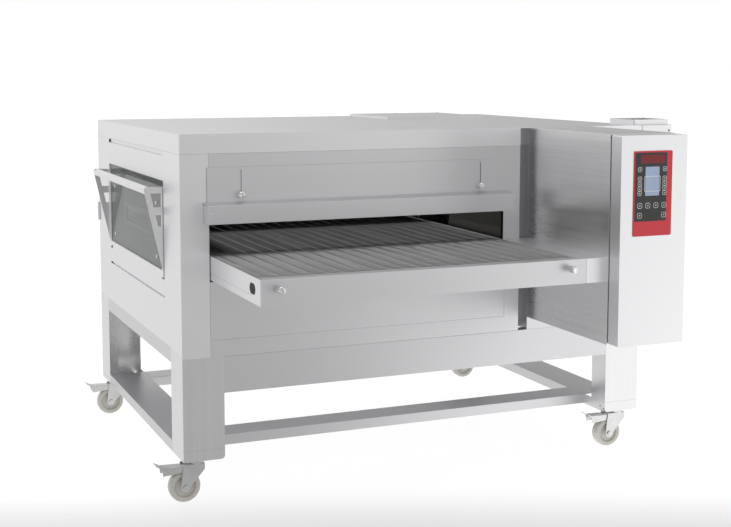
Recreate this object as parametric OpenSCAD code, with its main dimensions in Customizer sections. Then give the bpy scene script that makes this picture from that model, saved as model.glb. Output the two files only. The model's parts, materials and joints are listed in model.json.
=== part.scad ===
// Conveyor pizza oven on a wheeled stand.
// The origin is on the floor under the middle of the whole object's box. +Z is up, the conveyor's
// loading end and the control box face -Y, and the inspection door faces -X.

/* [Oven body] */
// Width of the oven body and of the stand
body_w = 1654; // [1500:1:1800]
// Depth of the oven body, along the belt
body_d = 1235; // [1100:1:1400]
// Height of the oven body above the stand
body_h = 675; // [650:1:720]
// Thickness of the body's steel sheet
sheet = 2; // [1.5:0.5:3]
// Height of the skirt round the top cover
skirt_h = 60; // [50:1:70]
// Width of the baking section, up to the dark groove
baking_w = 1168; // [1160:1:1180]
// Width of the groove between the baking section and the machine section
groove_w = 33; // [25:1:40]
// Depth of that groove
groove_depth = 60; // [15:1:90]
// Width of the corner posts on the front and rear faces
post_w = 90; // [86:1:90]
// Width of the corner posts on the left side
post_d = 206; // [180:1:206]
// Width of the seams between neighbouring sheets
seam = 0.5; // [0.5:0.5:2]

/* [Conveyor] */
// Width of the wire belt
belt_w = 1000; // [980:5:1000]
// Height of the belt's top face above the body's bottom
belt_z = 301; // [295:1:305]
// Thickness of the wire belt
belt_t = 4; // [3:0.5:5]
// Reach of the conveyor out of the body at each end
conveyor_out = 490; // [420:5:520]
// Height of the conveyor's side rails
rail_h = 75; // [70:1:80]
// Thickness of the side rails
rail_t = 3; // [2:0.5:3]
// Outer radius of the belt where it turns round the end shafts
belt_turn_r = 32; // [28:1:32]
// Distance from a conveyor end to its shaft
shaft_setback = 72; // [66:1:80]
// Radius of the drive and idler shafts
shaft_r = 10; // [8:1:12]
// Number of belt sprockets on each shaft
sprocket_count = 7; // [3:1:11]

/* [Shutters] */
// Height of a shutter's lower edge above the body's bottom
shutter_z = 404; // [400:1:410]
// Height of a shutter's upper edge above the body's bottom
shutter_top = 573; // [565:1:585]
// Reach of the visor in front of the body
visor_out = 50; // [40:1:60]
// Height of the visor
visor_h = 63; // [50:1:66]
// Travel of a shutter from fully raised to lowered
shutter_travel = 72; // [40:1:72]
// Radius of the round knobs
knob_r = 11; // [9:0.5:13]

/* [Inspection door] */
// Lower edge of the door
door_z = 218; // [216:1:230]
// Upper edge of the door
door_top = 518; // [505:1:520]
// Thickness of the door glass
glass_t = 6; // [4:1:8]
// Reach of the handle bar out from the door
handle_out = 61; // [50:1:70]

/* [Control box] */
// Width of the control box
control_w = 236; // [220:1:250]
// Depth of the control box with its cover
control_out = 544; // [520:1:560]
// Depth of the cover alone
cover_d = 51; // [40:1:60]
// Height of the control box's lower edge above the body's bottom
control_z = 31; // [20:1:60]
// Width of the keypad
keypad_w = 137; // [120:1:150]
// Height of the keypad
keypad_h = 257; // [230:1:270]

/* [Stand] */
// Height of the legs
leg_h = 335; // [250:5:500]
// Width of a leg on the front and rear faces
leg_w = 132; // [110:1:140]
// Depth of a leg's outer flange
leg_d = 140; // [120:1:150]
// Height of the lower rails
rail_low_h = 34; // [30:1:45]
// Width of the lower cross rails
cross_rail_w = 105; // [80:1:120]

/* [Casters] */
// Height of a caster, from the floor to the leg
caster_h = 138; // [136:1:144]
// Radius of a caster wheel
wheel_r = 50; // [46:1:50]
// Width of a caster wheel
wheel_w = 34; // [30:1:34]
// Distance from the swivel axis back to the wheel's axle
trail = 38; // [34:1:42]

/* [Hidden] */
$fn = 48;

// Clearances
run_gap = 0.05;    // radial gap of a shaft in its bore
part_gap = 0.3;    // gap between a moving piece and its neighbour
joint_gap = 0.1;   // gap between two fixed pieces that are joined end to face
cut = 1;           // how far a cutting tool reaches past a face
door_gap = 1.5;    // gap round the inspection door
corner_r = 3;      // small corner radius of folded covers

// Stand and origin
floor_z = -(leg_h + caster_h);
pedal_reach = 130;
caster_x = 52;
caster_y = 55;
tray_knob_out = 35;
flue_w = 123;
keypad_t = 2.5;
left_edge = caster_x - pedal_reach;
right_edge = body_w + flue_w;
rear_edge = body_d + conveyor_out + tray_knob_out;
centre_x = (left_edge + right_edge) / 2;
centre_y = (rear_edge - control_out - keypad_t) / 2;

// Body sheets
side_top = body_h - skirt_h - seam;      // top edge of the side sheets, under the skirt
front_lip = 12;                          // how far the front and rear sheets hang below the body
mouth_z0 = 222;
mouth_z1 = 480;
mouth_x1 = 1106;
machine_x = baking_w + groove_w;         // left edge of the machine section and the control box
groove_line = 1;                         // depth of a pressed seam line
line_w = 3;

// Conveyor
rail_x0 = 92;
rail_z1 = belt_z + 2;
rail_z0 = rail_z1 - rail_h;
belt_x0 = rail_x0 + rail_t + 3;
rail_x1 = belt_x0 + belt_w + 3;          // inner face of the right rail
axis_z = belt_z - belt_turn_r;
axis_y = -conveyor_out + shaft_setback;
slot_w = 52;
slot_h = 31;
tray_len = 440;
tray_t = 1.5;
fascia_x1 = 1120;
sprocket_r = belt_turn_r - belt_t - 0.5;
motor_y = -250;
motor_z = 130;
chain_r = 25;
chain_t = 7;
chain_x = machine_x + 16;
chain_w = 8;

// Shutters
plate_gap = 2;                           // gap between the body's face and the shutter plate
shutter_t = 1.5;
shutter_x0 = 84;
shutter_x1 = 1130;
visor_x0 = 73;
visor_x1 = 1119;
knob_z = 488;
knob_xs = [189, 1014];
stud_r = 4;
tray_knob_xs = [142, 1061];
tray_knob_z = 276;

// Door
door_y0 = 208;
door_y1 = 1026;
hinge_x = 3;
hinge_z = door_z - 6;
hinge_r = 2.5;
handle_z = 494;
cheek_t = 2.5;

// Chamber
chamber_x0 = 62;
chamber_x1 = 1150;
chamber_y = 42;
chamber_z0 = 92;
chamber_z1 = 590;
fan_y = body_d / 2;
fan_z = 345;
fan_r = 150;
fan_x = chamber_x1 + 24;

// ---------------------------------------------------------------- helpers

// Moves from the body's lower front left corner to the part's own frame.
module in_frame() translate([-centre_x, -centre_y, -floor_z]) children();

// A block given by its lowest and highest corners.
module block(low, high) translate(low) cube(high - low);

// The rear copy of something drawn at the front.
module at_rear() translate([0, body_d, 0]) mirror([0, 1, 0]) children();

// The right copy of something drawn at the left.
module at_right() translate([body_w, 0, 0]) mirror([1, 0, 0]) children();

// A round bar along X, and one along Y.
module bar_x(r, x0, x1) translate([x0, 0, 0]) rotate([0, 90, 0]) cylinder(r = r, h = x1 - x0);
module bar_y(r, y0, y1) translate([0, y1, 0]) rotate([90, 0, 0]) cylinder(r = r, h = y1 - y0);

// A rectangle with round corners, from the origin.
module round_rect(w, h, r) {
    translate([r, 0]) square([w - 2 * r, h]);
    translate([0, r]) square([w, h - 2 * r]);
    for (x = [r, w - r], y = [r, h - r]) translate([x, y]) circle(r);
}

// A slot outline with round ends, centred, along the first axis.
module slot(w, h) {
    square([w - h, h], center = true);
    for (side = [-1, 1]) translate([side * (w - h) / 2, 0]) circle(h / 2);
}

// Turns a drawing in the Y-Z plane into a solid from x0 to x1.
module along_x(x0, x1)
    translate([x0, 0, 0]) rotate([90, 0, 90]) linear_extrude(x1 - x0) children();

// Turns a drawing in the X-Z plane into a solid from y0 to y1.
module along_y(y0, y1)
    translate([0, y1, 0]) rotate([90, 0, 0]) linear_extrude(y1 - y0) children();

// Places a child at one of the four casters' swivel axes, at the leg's lower face.
module at_caster(right, rear)
    translate([right ? body_w - caster_x : caster_x, rear ? body_d - caster_y : caster_y, -leg_h])
        children();

// ---------------------------------------------------------------- body

base_edge = 25;

module base_pan() in_frame() color("gray") difference() {
    block([sheet, sheet, 0], [body_w - sheet, body_d - sheet, base_edge]);
    block([2 * sheet, 2 * sheet, sheet], [body_w - 2 * sheet, body_d - 2 * sheet, base_edge + cut]);
    groove_notch();
    at_rear() groove_notch();
}

// Room in the base pan for the folds of the groove.
module groove_notch()
    block([baking_w - sheet - part_gap, -cut, -cut],
          [machine_x + sheet + part_gap, groove_depth + sheet + part_gap, base_edge + cut]);

// One folded corner post: a strip on the front face and a strip on the left side.
module corner_post() {
    block([0, 0, -front_lip], [post_w, sheet, side_top]);
    block([0, 0, 0], [sheet, post_d, side_top]);
}

catch_y = body_d - 14;
catch_z = [287, 357];
catch_out = 8;                           // reach of the catch bar out from the post, and its width

module corner_posts() in_frame() color("gainsboro") {
    corner_post();
    at_rear() corner_post();
    block([-catch_out, catch_y, catch_z[0]], [-part_gap, catch_y + catch_out, catch_z[1]]);
}

panel_y0 = post_d + seam;
panel_y1 = body_d - post_d - seam;
panel_grooves = [[145, 152], [599, 612]];
pressed_in = 6;                          // depth of a wide groove pressed into the side panel
knuckle_notch = 34;
knuckle_drop = 8;                        // how far the notch for a hinge knuckle reaches under the axis
sill_gap = 2;                            // gap under the door

// The side panel round the door opening, with a wide pressed groove above and below the door.
module left_service_panel() in_frame() color("gainsboro") difference() {
    union() {
        block([0, panel_y0, 0], [sheet, panel_y1, side_top]);
        for (g = panel_grooves)
            block([0, panel_y0, g[0] - sheet], [pressed_in + sheet, panel_y1, g[1] + sheet]);
    }
    for (g = panel_grooves) block([-cut, panel_y0 - cut, g[0]], [pressed_in, panel_y1 + cut, g[1]]);
    block([-cut, door_y0 - door_gap - cut, door_z - sill_gap],
          [sheet + cut, door_y1 + door_gap + cut, door_top + door_gap]);
    for (y = [door_y0 - door_gap - cut, door_y1 + door_gap - knuckle_notch])
        block([-cut, y, hinge_z - knuckle_drop], [sheet + cut, y + knuckle_notch + cut, door_z]);
}

lower_panel_z = [40, 300];
lower_panel_x = mouth_x1 + 4;            // left edge of the upright pressed line

// The front sheet of the baking section, open to the left at the mouth.
module mouth_sheet() difference() {
    union() {
        block([post_w + seam, 0, -front_lip], [baking_w, sheet, side_top]);
        block([baking_w - sheet, 0, -front_lip], [baking_w, groove_depth, side_top]);
    }
    block([post_w, -cut, mouth_z0], [mouth_x1, sheet + cut, mouth_z1]);
    for (x = knob_xs)
        translate([x, 0, knob_z]) bar_y(stud_r + run_gap, -cut, sheet + cut);
    block([post_w, -cut, lower_panel_z[0]], [mouth_x1 + line_w, groove_line, lower_panel_z[0] + line_w]);
    block([lower_panel_x, -cut, lower_panel_z[0]], [lower_panel_x + line_w, groove_line, lower_panel_z[1]]);
}

module front_panel() in_frame() color("silver") mouth_sheet();
module rear_panel() in_frame() color("silver") at_rear() mouth_sheet();

flue_hole = [[20, 560], [160, 605]];

module right_casing() in_frame() color("silver") difference() {
    union() {
        machine_front();
        at_rear() machine_front();
        block([body_w - sheet, 0, 0], [body_w, body_d, side_top]);
    }
    block([body_w - sheet - cut, flue_hole[0][0], flue_hole[0][1]],
          [body_w + cut, flue_hole[1][0], flue_hole[1][1]]);
}

// The front sheet of the machine section with the floor of the groove beside it.
module machine_front() {
    block([baking_w + part_gap, groove_depth, -front_lip], [machine_x, groove_depth + sheet, side_top]);
    block([machine_x, 0, -front_lip], [machine_x + sheet, groove_depth + sheet, side_top]);
    block([machine_x, 0, -front_lip], [body_w, sheet, side_top]);
}

// The top cover. Its skirt steps back at the groove of each end.
module top_cover() in_frame() color("whitesmoke") difference() {
    translate([0, 0, body_h - skirt_h])
        linear_extrude(skirt_h) round_rect(body_w, body_d, corner_r);
    difference() {
        block([sheet, sheet, body_h - skirt_h - cut], [body_w - sheet, body_d - sheet, body_h - sheet]);
        cover_step(sheet);
        at_rear() cover_step(sheet);
    }
    cover_step(0);
    at_rear() cover_step(0);
}

// The room of the groove in the skirt, grown by a wall.
module cover_step(wall)
    block([baking_w - wall, -cut, body_h - skirt_h - 2 * cut],
          [machine_x + wall, groove_depth + wall, body_h - sheet]);

access_x = [1052, 1467];
access_d = 400;
access_h = 9;
access_r = 6;

module top_access_plate() in_frame() color("gainsboro") difference() {
    translate([access_x[0], body_d - access_d, body_h])
        linear_extrude(access_h) round_rect(access_x[1] - access_x[0], access_d, access_r);
    block([access_x[0] + sheet, body_d - access_d + sheet, body_h - cut],
          [access_x[1] - sheet, body_d - sheet, body_h + access_h - sheet]);
}

// ---------------------------------------------------------------- baking chamber

inner_door = [[225, 312], [1010, 508]];
chamber_gap = 0.5;
end_mouth_x = [rail_x0 - 6, mouth_x1 + 14];
fan_mouth_r = fan_r - 20;

// An end wall of the chamber with the mouth for the conveyor.
module chamber_end() difference() {
    block([chamber_x0, chamber_y, chamber_z0], [chamber_x1, chamber_y + sheet, chamber_z1]);
    block([end_mouth_x[0], chamber_y - cut, mouth_z0], [end_mouth_x[1], chamber_y + sheet + cut, shutter_z]);
}

module baking_chamber() in_frame() color("dimgray") {
    low_y = chamber_y + sheet + chamber_gap;
    high_y = body_d - low_y;
    chamber_end();
    at_rear() chamber_end();
    difference() {
        block([chamber_x0, low_y, chamber_z0], [chamber_x0 + sheet, high_y, chamber_z1]);
        block([chamber_x0 - cut, inner_door[0][0], inner_door[0][1]],
              [chamber_x0 + sheet + cut, inner_door[1][0], inner_door[1][1]]);
    }
    difference() {
        block([chamber_x1 - sheet, low_y, chamber_z0], [chamber_x1, high_y, chamber_z1]);
        translate([0, fan_y, fan_z]) bar_x(fan_mouth_r, chamber_x1 - sheet - cut, chamber_x1 + cut);
    }
    inner_x = [chamber_x0 + sheet + chamber_gap, chamber_x1 - sheet - chamber_gap];
    for (z = [chamber_z0, chamber_z1 - sheet])
        block([inner_x[0], low_y, z], [inner_x[1], high_y, z + sheet]);
}

finger_count = 4;
finger_d = 150;
finger_x = [110, 1140];
finger_levels = [[128, 212], [430, 514]];

// Flat ducts above and below the belt that blow hot air on it through slits.
module air_fingers() in_frame() color("gray") {
    pitch = (body_d - 2 * chamber_y) / finger_count;
    for (i = [0 : finger_count - 1], level = finger_levels) {
        y = chamber_y + pitch * (i + 0.5) - finger_d / 2;
        difference() {
            block([finger_x[0], y, level[0]], [finger_x[1], y + finger_d, level[1]]);
            block([finger_x[0] + sheet, y + sheet, level[0] + sheet],
                  [finger_x[1] + cut, y + finger_d - sheet, level[1] - sheet]);
        }
    }
}

blade_count = 12;
blade_t = 3;
blade_d = 45;                            // depth of a blade towards the axis
blade_inset = 2;
fan_w = 65;                              // width of the wheel with its back plate
fan_plate_t = 3;
fan_hub_r = 22;
motor_shaft_r = 8;
shaft_tip = 4;                           // how far a motor's shaft end stays behind its wheel's face

module circulation_fan() in_frame() color("silver") translate([0, fan_y, fan_z]) {
    difference() {
        union() {
            bar_x(fan_r, fan_x + fan_w - fan_plate_t, fan_x + fan_w);
            bar_x(fan_hub_r, fan_x, fan_x + fan_w - cut);
        }
        bar_x(motor_shaft_r + run_gap, fan_x - cut, fan_x + fan_w + cut);
    }
    for (i = [0 : blade_count - 1]) rotate([i * 360 / blade_count, 0, 0])
        block([fan_x, fan_r - blade_d, -blade_t / 2],
              [fan_x + fan_w - fan_plate_t / 2, fan_r - blade_inset, blade_t / 2]);
}

fan_motor_x = fan_x + 90;
fan_motor_r = 85;
fan_motor_len = 180;
motor_plate = 360;                       // side of the square plate that carries the motor
motor_plate_t = 5;

module fan_motor() in_frame() color("dimgray") translate([0, fan_y, fan_z]) {
    bar_x(motor_shaft_r, fan_x + shaft_tip, fan_motor_x + motor_plate_t);
    bar_x(fan_motor_r, fan_motor_x + motor_plate_t - cut, fan_motor_x + fan_motor_len);
    block([fan_motor_x, -motor_plate / 2, -motor_plate / 2],
          [fan_motor_x + motor_plate_t, motor_plate / 2, motor_plate / 2]);
}

burner_at = [0, 250, 160];
burner_x = [1215, 1560];
burner_r = 30;
burner_flange = [1300, 1306];
burner_flange_r = 48;
burner_cap = [1556, 1590];
burner_cap_r = 38;

// Straight burner tube with its mounting flange and end cap.
module burner_tube() in_frame() color("darkgray") translate(burner_at) {
    bar_x(burner_r, burner_x[0], burner_x[1]);
    bar_x(burner_flange_r, burner_flange[0], burner_flange[1]);
    bar_x(burner_cap_r, burner_cap[0], burner_cap[1]);
}

// ---------------------------------------------------------------- flue

flue_d = 180;
flue_z = 235;
flue_rim = 8;                            // rim left round the flue's mouth
flue_mouth = [[body_w + flue_rim, 20], [body_w + flue_w - flue_rim, 160]];
flue_bolt = [body_w + flue_w - 12, 0, body_h - 20];
flue_bolt_r = 4;

module flue_box() in_frame() color("gainsboro") difference() {
    block([body_w, 0, flue_z], [body_w + flue_w, flue_d, body_h]);
    block([body_w - cut, sheet, flue_z + sheet],
          [body_w + flue_w - sheet, flue_d - sheet, body_h - sheet]);
    block([flue_mouth[0][0], flue_mouth[0][1], body_h - sheet - cut],
          [flue_mouth[1][0], flue_mouth[1][1], body_h + cut]);
    translate(flue_bolt) bar_y(flue_bolt_r, -cut, sheet + cut);
}

collar_x = [1627, 1773];
collar_y = [15, 165];
collar_h = 19;
collar_r = 5;

// Open collar that a duct slides over.
module flue_collar() in_frame() color("lightgray") difference() {
    translate([collar_x[0], collar_y[0], body_h])
        linear_extrude(collar_h) round_rect(collar_x[1] - collar_x[0], collar_y[1] - collar_y[0], collar_r);
    block([collar_x[0] + sheet, collar_y[0] + sheet, body_h - cut],
          [collar_x[1] - sheet, collar_y[1] - sheet, body_h + collar_h + cut]);
}

// ---------------------------------------------------------------- inspection door

pane_inset = 2;
pane_y = [door_y0 + pane_inset, door_y1 - pane_inset];
pane_lift = 0.5;                         // lower edge of the pane above the door's lower edge
door_screw_y = [300, 934];
door_screw_z = [267, 442];
door_screw_r = 3;
door_screw_gap = 0.3;
door_screw_head = [6, 3];                // radius and height of a screw's head
head_gap = 0.2;
screw_tail = 4;

module door_glass() in_frame() color([0.3, 0.32, 0.32, 0.6]) {
    difference() {
        block([0, pane_y[0], door_z + pane_lift], [glass_t, pane_y[1], door_top]);
        for (y = door_screw_y, z = door_screw_z)
            translate([0, y, z]) bar_x(door_screw_r + door_screw_gap, -cut, glass_t + cut);
    }
    for (y = door_screw_y, z = door_screw_z) translate([0, y, z]) {
        bar_x(door_screw_r, -head_gap, glass_t + screw_tail);
        bar_x(door_screw_head[0], -door_screw_head[1], -head_gap);
    }
}

handle_low = door_z + 4;
strip_w = 18;
rung_z = [[411, 436], [480, 499]];
cheek_x = -0.5;                          // inner edge of a cheek's outline
cheek_strip = 5;                         // width of the strip left beside the glass
window_low = 375;                        // lower end of the lower cut-out
cheek_top = [4, 3];                      // how far the upper corner stands in and up

// How far the sloping outer edge of a cheek stands out at a height.
function cheek_out(z) = handle_out * (z - handle_low) / (handle_z - handle_low);

// Outline of a cheek, a triangle between the door and the handle bar, with two cut-outs.
module cheek_outline() difference() {
    polygon([[cheek_x, handle_low], [cheek_x, rung_z[1][1]],
             [-cheek_out(rung_z[1][0]) + cheek_top[0], rung_z[1][1] + cheek_top[1]],
             [-handle_out, handle_z]]);
    for (gap = [[window_low, rung_z[0][0]], [rung_z[0][1], rung_z[1][0]]])
        polygon([[-cheek_strip, gap[0]], [-cheek_strip, gap[1]],
                 [-cheek_out(gap[1]) + strip_w, gap[1]], [-cheek_out(gap[0]) + strip_w, gap[0]]]);
}

bar_face = 15;
bar_flange = 15;
bar_t = 2;
bar_rise = [[0, 7.5], [0.9, 5.7]];       // outer and inner corner of the flange's edge
bar_fold = 1.2;

// Outline of the handle bar: a face that follows the slope and a flange turned inwards.
module bar_outline() {
    low = handle_z - bar_face;
    polygon([[-cheek_out(low), low], [-handle_out, handle_z],
             [-handle_out + bar_flange + bar_rise[0][0], handle_z + bar_rise[0][1]],
             [-handle_out + bar_flange + bar_rise[1][0], handle_z + bar_rise[1][1]],
             [-handle_out + bar_t, handle_z - bar_fold], [-cheek_out(low) + bar_t, low]]);
}

frame_t = 2;
foot_strip = [door_z - 1, handle_low + 10];
knuckle_w = 22;
knuckle_r = 4.5;
knuckle_arm = [[-5, 0, 0], [-3.1, knuckle_w, 8]];

module door_handle_frame() in_frame() color("silver") {
    for (y = [pane_y[0], pane_y[1] - cheek_t]) along_y(y, y + cheek_t) cheek_outline();
    along_y(pane_y[0], pane_y[1]) bar_outline();
    for (y = [pane_y[0], pane_y[1] - strip_w])
        block([-frame_t, y, handle_low], [-joint_gap, y + strip_w, rung_z[1][1]]);
    difference() {
        union() {
            block([-frame_t, pane_y[0], foot_strip[0]], [-joint_gap, pane_y[1], foot_strip[1]]);
            for (y = [pane_y[0], pane_y[1] - knuckle_w])
                translate([hinge_x, y, hinge_z]) {
                    rotate([-90, 0, 0]) cylinder(r = knuckle_r, h = knuckle_w);
                    block(knuckle_arm[0], knuckle_arm[1]);
                }
        }
        translate([hinge_x, 0, hinge_z]) bar_y(hinge_r + run_gap, door_y0 - cut, door_y1 + cut);
    }
}

pin_in = 26;                             // how far a hinge pin reaches past the pane's edge
bracket_t = 3;
bracket_arm = [[-1, -7], [22, 4]];       // in X and Z from the pin
bracket_foot = [[-1, -22], [sheet, -6]];

// The two hinge pins on their brackets behind the lower edge of the door opening.
module door_hinges() in_frame() color("gray")
    for (far = [false, true]) {
        pin = far ? [pane_y[1] - pin_in, door_y1 + cut] : [door_y0 - cut, pane_y[0] + pin_in];
        plate = far ? [pin[0], pin[0] + bracket_t] : [pin[1] - bracket_t, pin[1]];
        translate([hinge_x, 0, hinge_z]) {
            bar_y(hinge_r, pin[0], pin[1]);
            for (b = [bracket_arm, bracket_foot])
                block([b[0][0], plate[0], b[0][1]], [b[1][0], plate[1], b[1][1]]);
        }
    }

// ---------------------------------------------------------------- shutters

visor_slope = 6;
visor_hem = 12;
slot_play = 1;                           // room round a stud in its slot

// The visor's cross-section, drawn in the Y-Z plane, with its walls moved in by an amount.
module visor_outline(inset)
    polygon([[-plate_gap - inset, shutter_z + inset], [-visor_out + inset, shutter_z + inset],
             [-visor_out + inset, shutter_z + visor_h - visor_slope - inset],
             [-plate_gap - inset, shutter_z + visor_h - inset]]);

// A sliding plate with a visor in front of the mouth. The slots let it down past the studs.
module shutter() difference() {
    union() {
        block([shutter_x0, -plate_gap - shutter_t, shutter_z], [shutter_x1, -plate_gap, shutter_top]);
        along_x(visor_x0, visor_x1) difference() {
            visor_outline(0);
            visor_outline(shutter_t);
            translate([-visor_out + visor_hem, shutter_z - cut])
                square([visor_out - visor_hem - plate_gap - shutter_t, visor_h / 2]);
        }
        for (x = [visor_x0, visor_x1 - shutter_t])
            block([x, -visor_out, shutter_z],
                  [x + shutter_t, -plate_gap, shutter_z + visor_h - visor_slope]);
    }
    for (x = knob_xs)
        along_y(-plate_gap - shutter_t - cut, -plate_gap + cut)
            translate([x, knob_z + shutter_travel / 2]) rotate(90)
                slot(shutter_travel + 2 * stud_r + slot_play, 2 * stud_r + slot_play);
}

module front_shutter() in_frame() color("lightgray") shutter();
module rear_shutter() in_frame() color("lightgray") at_rear() shutter();

knob_base = -plate_gap - shutter_t - part_gap;
knob_h = 20;
knob_cap = 2;                            // height of the smaller disc on a knob's face, and its step
stud_tail = 8;

// A round clamping knob with its threaded stud through the shutter's slot and the body's sheet.
module clamp_knob(x) translate([x, 0, knob_z]) {
    bar_y(knob_r, knob_base - knob_h, knob_base);
    bar_y(knob_r - knob_cap, knob_base - knob_h - knob_cap, knob_base - knob_h);
    bar_y(stud_r, knob_base, sheet + stud_tail);
}

module front_left_knob() in_frame() color("silver") clamp_knob(knob_xs[0]);
module front_right_knob() in_frame() color("silver") clamp_knob(knob_xs[1]);
module rear_left_knob() in_frame() color("silver") at_rear() clamp_knob(knob_xs[0]);
module rear_right_knob() in_frame() color("silver") at_rear() clamp_knob(knob_xs[1]);

// ---------------------------------------------------------------- conveyor

rail_y = [-conveyor_out + sheet + part_gap, body_d + conveyor_out - sheet - part_gap];
hem = 14;
rail_line_z = rail_z0 + 21;              // height of the pressed line along the left rail

// A side rail with an inward hem below and slots for the shafts' bearing blocks at both ends.
module side_rail(inward) difference() {
    union() {
        block([0, rail_y[0], rail_z0], [rail_t, rail_y[1], rail_z1]);
        hem_x = inward > 0 ? [0, hem] : [rail_t - hem, rail_t];
        block([hem_x[0], rail_y[0], rail_z0], [hem_x[1], rail_y[1], rail_z0 + sheet]);
    }
    for (y = [axis_y, body_d - axis_y])
        along_x(-cut, rail_t + cut) translate([y, axis_z]) slot(slot_w, slot_h);
    if (inward > 0)
        block([-cut, axis_y, rail_line_z], [groove_line, body_d - axis_y, rail_line_z + line_w / 2]);
}

cross_count = 8;
cross_r = 7;
cross_inset = 80;                        // from an end shaft to the nearest cross bar
cross_z = axis_z + cross_r + cut;
strip_count = 5;
strip_t = 4;
strip_w2 = 8;                            // half the width of a wear strip, and of its web
web_w2 = 1.5;
strip_top = belt_z - belt_t - cut;
strip_end = 45;                          // from an end shaft to the strip's end
web_end = 60;

// A strip of T section that lies on the cross bars and carries the belt.
module wear_strip(x) {
    block([x - strip_w2, axis_y + strip_end, strip_top - strip_t],
          [x + strip_w2, body_d - axis_y - strip_end, strip_top]);
    block([x - web_w2, axis_y + web_end, cross_z + cross_r + joint_gap],
          [x + web_w2, body_d - axis_y - web_end, strip_top - strip_t / 2]);
}

module conveyor_frame() in_frame() color("silver") {
    translate([rail_x0, 0, 0]) side_rail(1);
    translate([rail_x1, 0, 0]) side_rail(-1);
    span = body_d - 2 * (axis_y + cross_inset);
    for (i = [0 : cross_count - 1])
        translate([0, axis_y + cross_inset + span * i / (cross_count - 1), cross_z])
            bar_x(cross_r, rail_x0 + rail_t + joint_gap, rail_x1 - joint_gap);
    for (i = [1 : strip_count]) wear_strip(belt_x0 + belt_w * i / (strip_count + 1));
    end_cover();
    at_rear() end_cover();
}

cover_strip_t = 2;
shaft_clear = 4;                         // room round a shaft where it passes a sheet

// The fixed cover between the belt and the control box at a conveyor end.
module end_cover() {
    x1 = machine_x - part_gap;
    block([rail_x1 + rail_t + joint_gap, rail_y[0], rail_z1 - cover_strip_t], [x1, -cut, rail_z1]);
    block([fascia_x1 + part_gap, -conveyor_out, rail_z0], [x1, rail_y[0] + sheet, rail_z1]);
    difference() {
        block([x1 - sheet, -conveyor_out, rail_z0], [x1, -cut, rail_z1]);
        translate([0, axis_y, axis_z]) bar_x(shaft_r + shaft_clear, x1 - sheet - cut, x1 + cut);
    }
}

// The outline of a band that runs round two wheels, from the first wheel's centre.
module stadium(length, r) {
    translate([0, -r]) square([length, 2 * r]);
    for (x = [0, length]) translate([x, 0]) circle(r);
}

module mesh_belt() in_frame() color("darkgray") translate([0, axis_y, axis_z])
    along_x(belt_x0, belt_x0 + belt_w) difference() {
        stadium(body_d - 2 * axis_y, belt_turn_r);
        stadium(body_d - 2 * axis_y, belt_turn_r - belt_t);
    }

block_inset = 0.5;                       // from the rail's inner face to the slide block
bore_end = 1.5;                          // where the blind bore of a left block ends

// A black slide block in each rail slot. The blocks on the right let the shafts through.
module bearing_blocks() in_frame() color("black")
    for (y = [axis_y, body_d - axis_y], right = [false, true]) {
        x = right ? rail_x1 : rail_x0;
        difference() {
            along_x(x + block_inset, x + rail_t) translate([y, axis_z]) slot(slot_w, slot_h);
            translate([0, y, axis_z])
                bar_x(shaft_r + run_gap, right ? x : x + bore_end, x + rail_t + cut);
        }
    }

tooth_count = 8;
tooth_h = 6;
tooth = [8, 6];                          // width along the shaft, and thickness
sprocket_hub_w = 18;
shaft_end = 1.8;                         // from the left rail's inner face to a shaft's end

// A sprocket under the belt: a hub, a web and blunt teeth.
module belt_sprocket() {
    bar_x(sprocket_r - tooth_h, -sprocket_hub_w / 2, sprocket_hub_w / 2);
    for (i = [0 : tooth_count - 1]) rotate([i * 360 / tooth_count, 0, 0])
        block([-tooth[0] / 2, 0, -tooth[1] / 2], [tooth[0] / 2, sprocket_r, tooth[1] / 2]);
}

// A shaft across the conveyor with its row of belt sprockets.
module belt_shaft(x1) {
    bar_x(shaft_r, rail_x0 + shaft_end, x1);
    for (i = [0 : sprocket_count - 1])
        translate([belt_x0 + belt_w * (i + 0.5) / sprocket_count, 0, 0]) belt_sprocket();
}

chain_teeth = 14;
chain_wheel_w = chain_w - 2;
chain_tooth_t = 4;
chain_tooth_gap = 0.6;                   // from a tooth's tip to the chain

// A chain sprocket with its teeth.
module chain_sprocket() {
    bar_x(chain_r - tooth_h, chain_x, chain_x + chain_wheel_w);
    for (i = [0 : chain_teeth - 1]) rotate([i * 360 / chain_teeth, 0, 0])
        block([chain_x + cut, 0, -chain_tooth_t / 2],
              [chain_x + chain_wheel_w - cut, chain_r - chain_tooth_gap, chain_tooth_t / 2]);
}

shaft_tail = 4;

module drive_shaft() in_frame() color("silver") translate([0, axis_y, axis_z]) {
    belt_shaft(chain_x + chain_w + shaft_tail);
    chain_sprocket();
}

module idler_shaft() in_frame() color("silver") translate([0, body_d - axis_y, axis_z])
    belt_shaft(rail_x1 + rail_t);

tray_side_gap = 1;                       // gap between the tray and the rails' inner faces
turn_gap = 2;                            // gap between the belt's turn and the tray's top flange

// The tray that catches crumbs, with the conveyor's end panel as its front.
module crumb_tray() {
    y1 = -conveyor_out + tray_len;
    tray_z = rail_z0 + sheet + part_gap;
    block([rail_x0, -conveyor_out, rail_z0], [fascia_x1, -conveyor_out + sheet, rail_z1]);
    block([rail_x0 + rail_t + tray_side_gap, -conveyor_out, rail_z1 - tray_t],
          [rail_x1 - tray_side_gap, axis_y - belt_turn_r - turn_gap, rail_z1]);
    block([rail_x0 + rail_t + tray_side_gap, -conveyor_out, tray_z],
          [rail_x1 - tray_side_gap, y1, tray_z + tray_t]);
}

module front_crumb_tray() in_frame() color("silver") crumb_tray();
module rear_crumb_tray() in_frame() color("silver") at_rear() crumb_tray();

tray_neck = [knob_r - 4, 12];            // radius and length of a pull knob's neck

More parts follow.
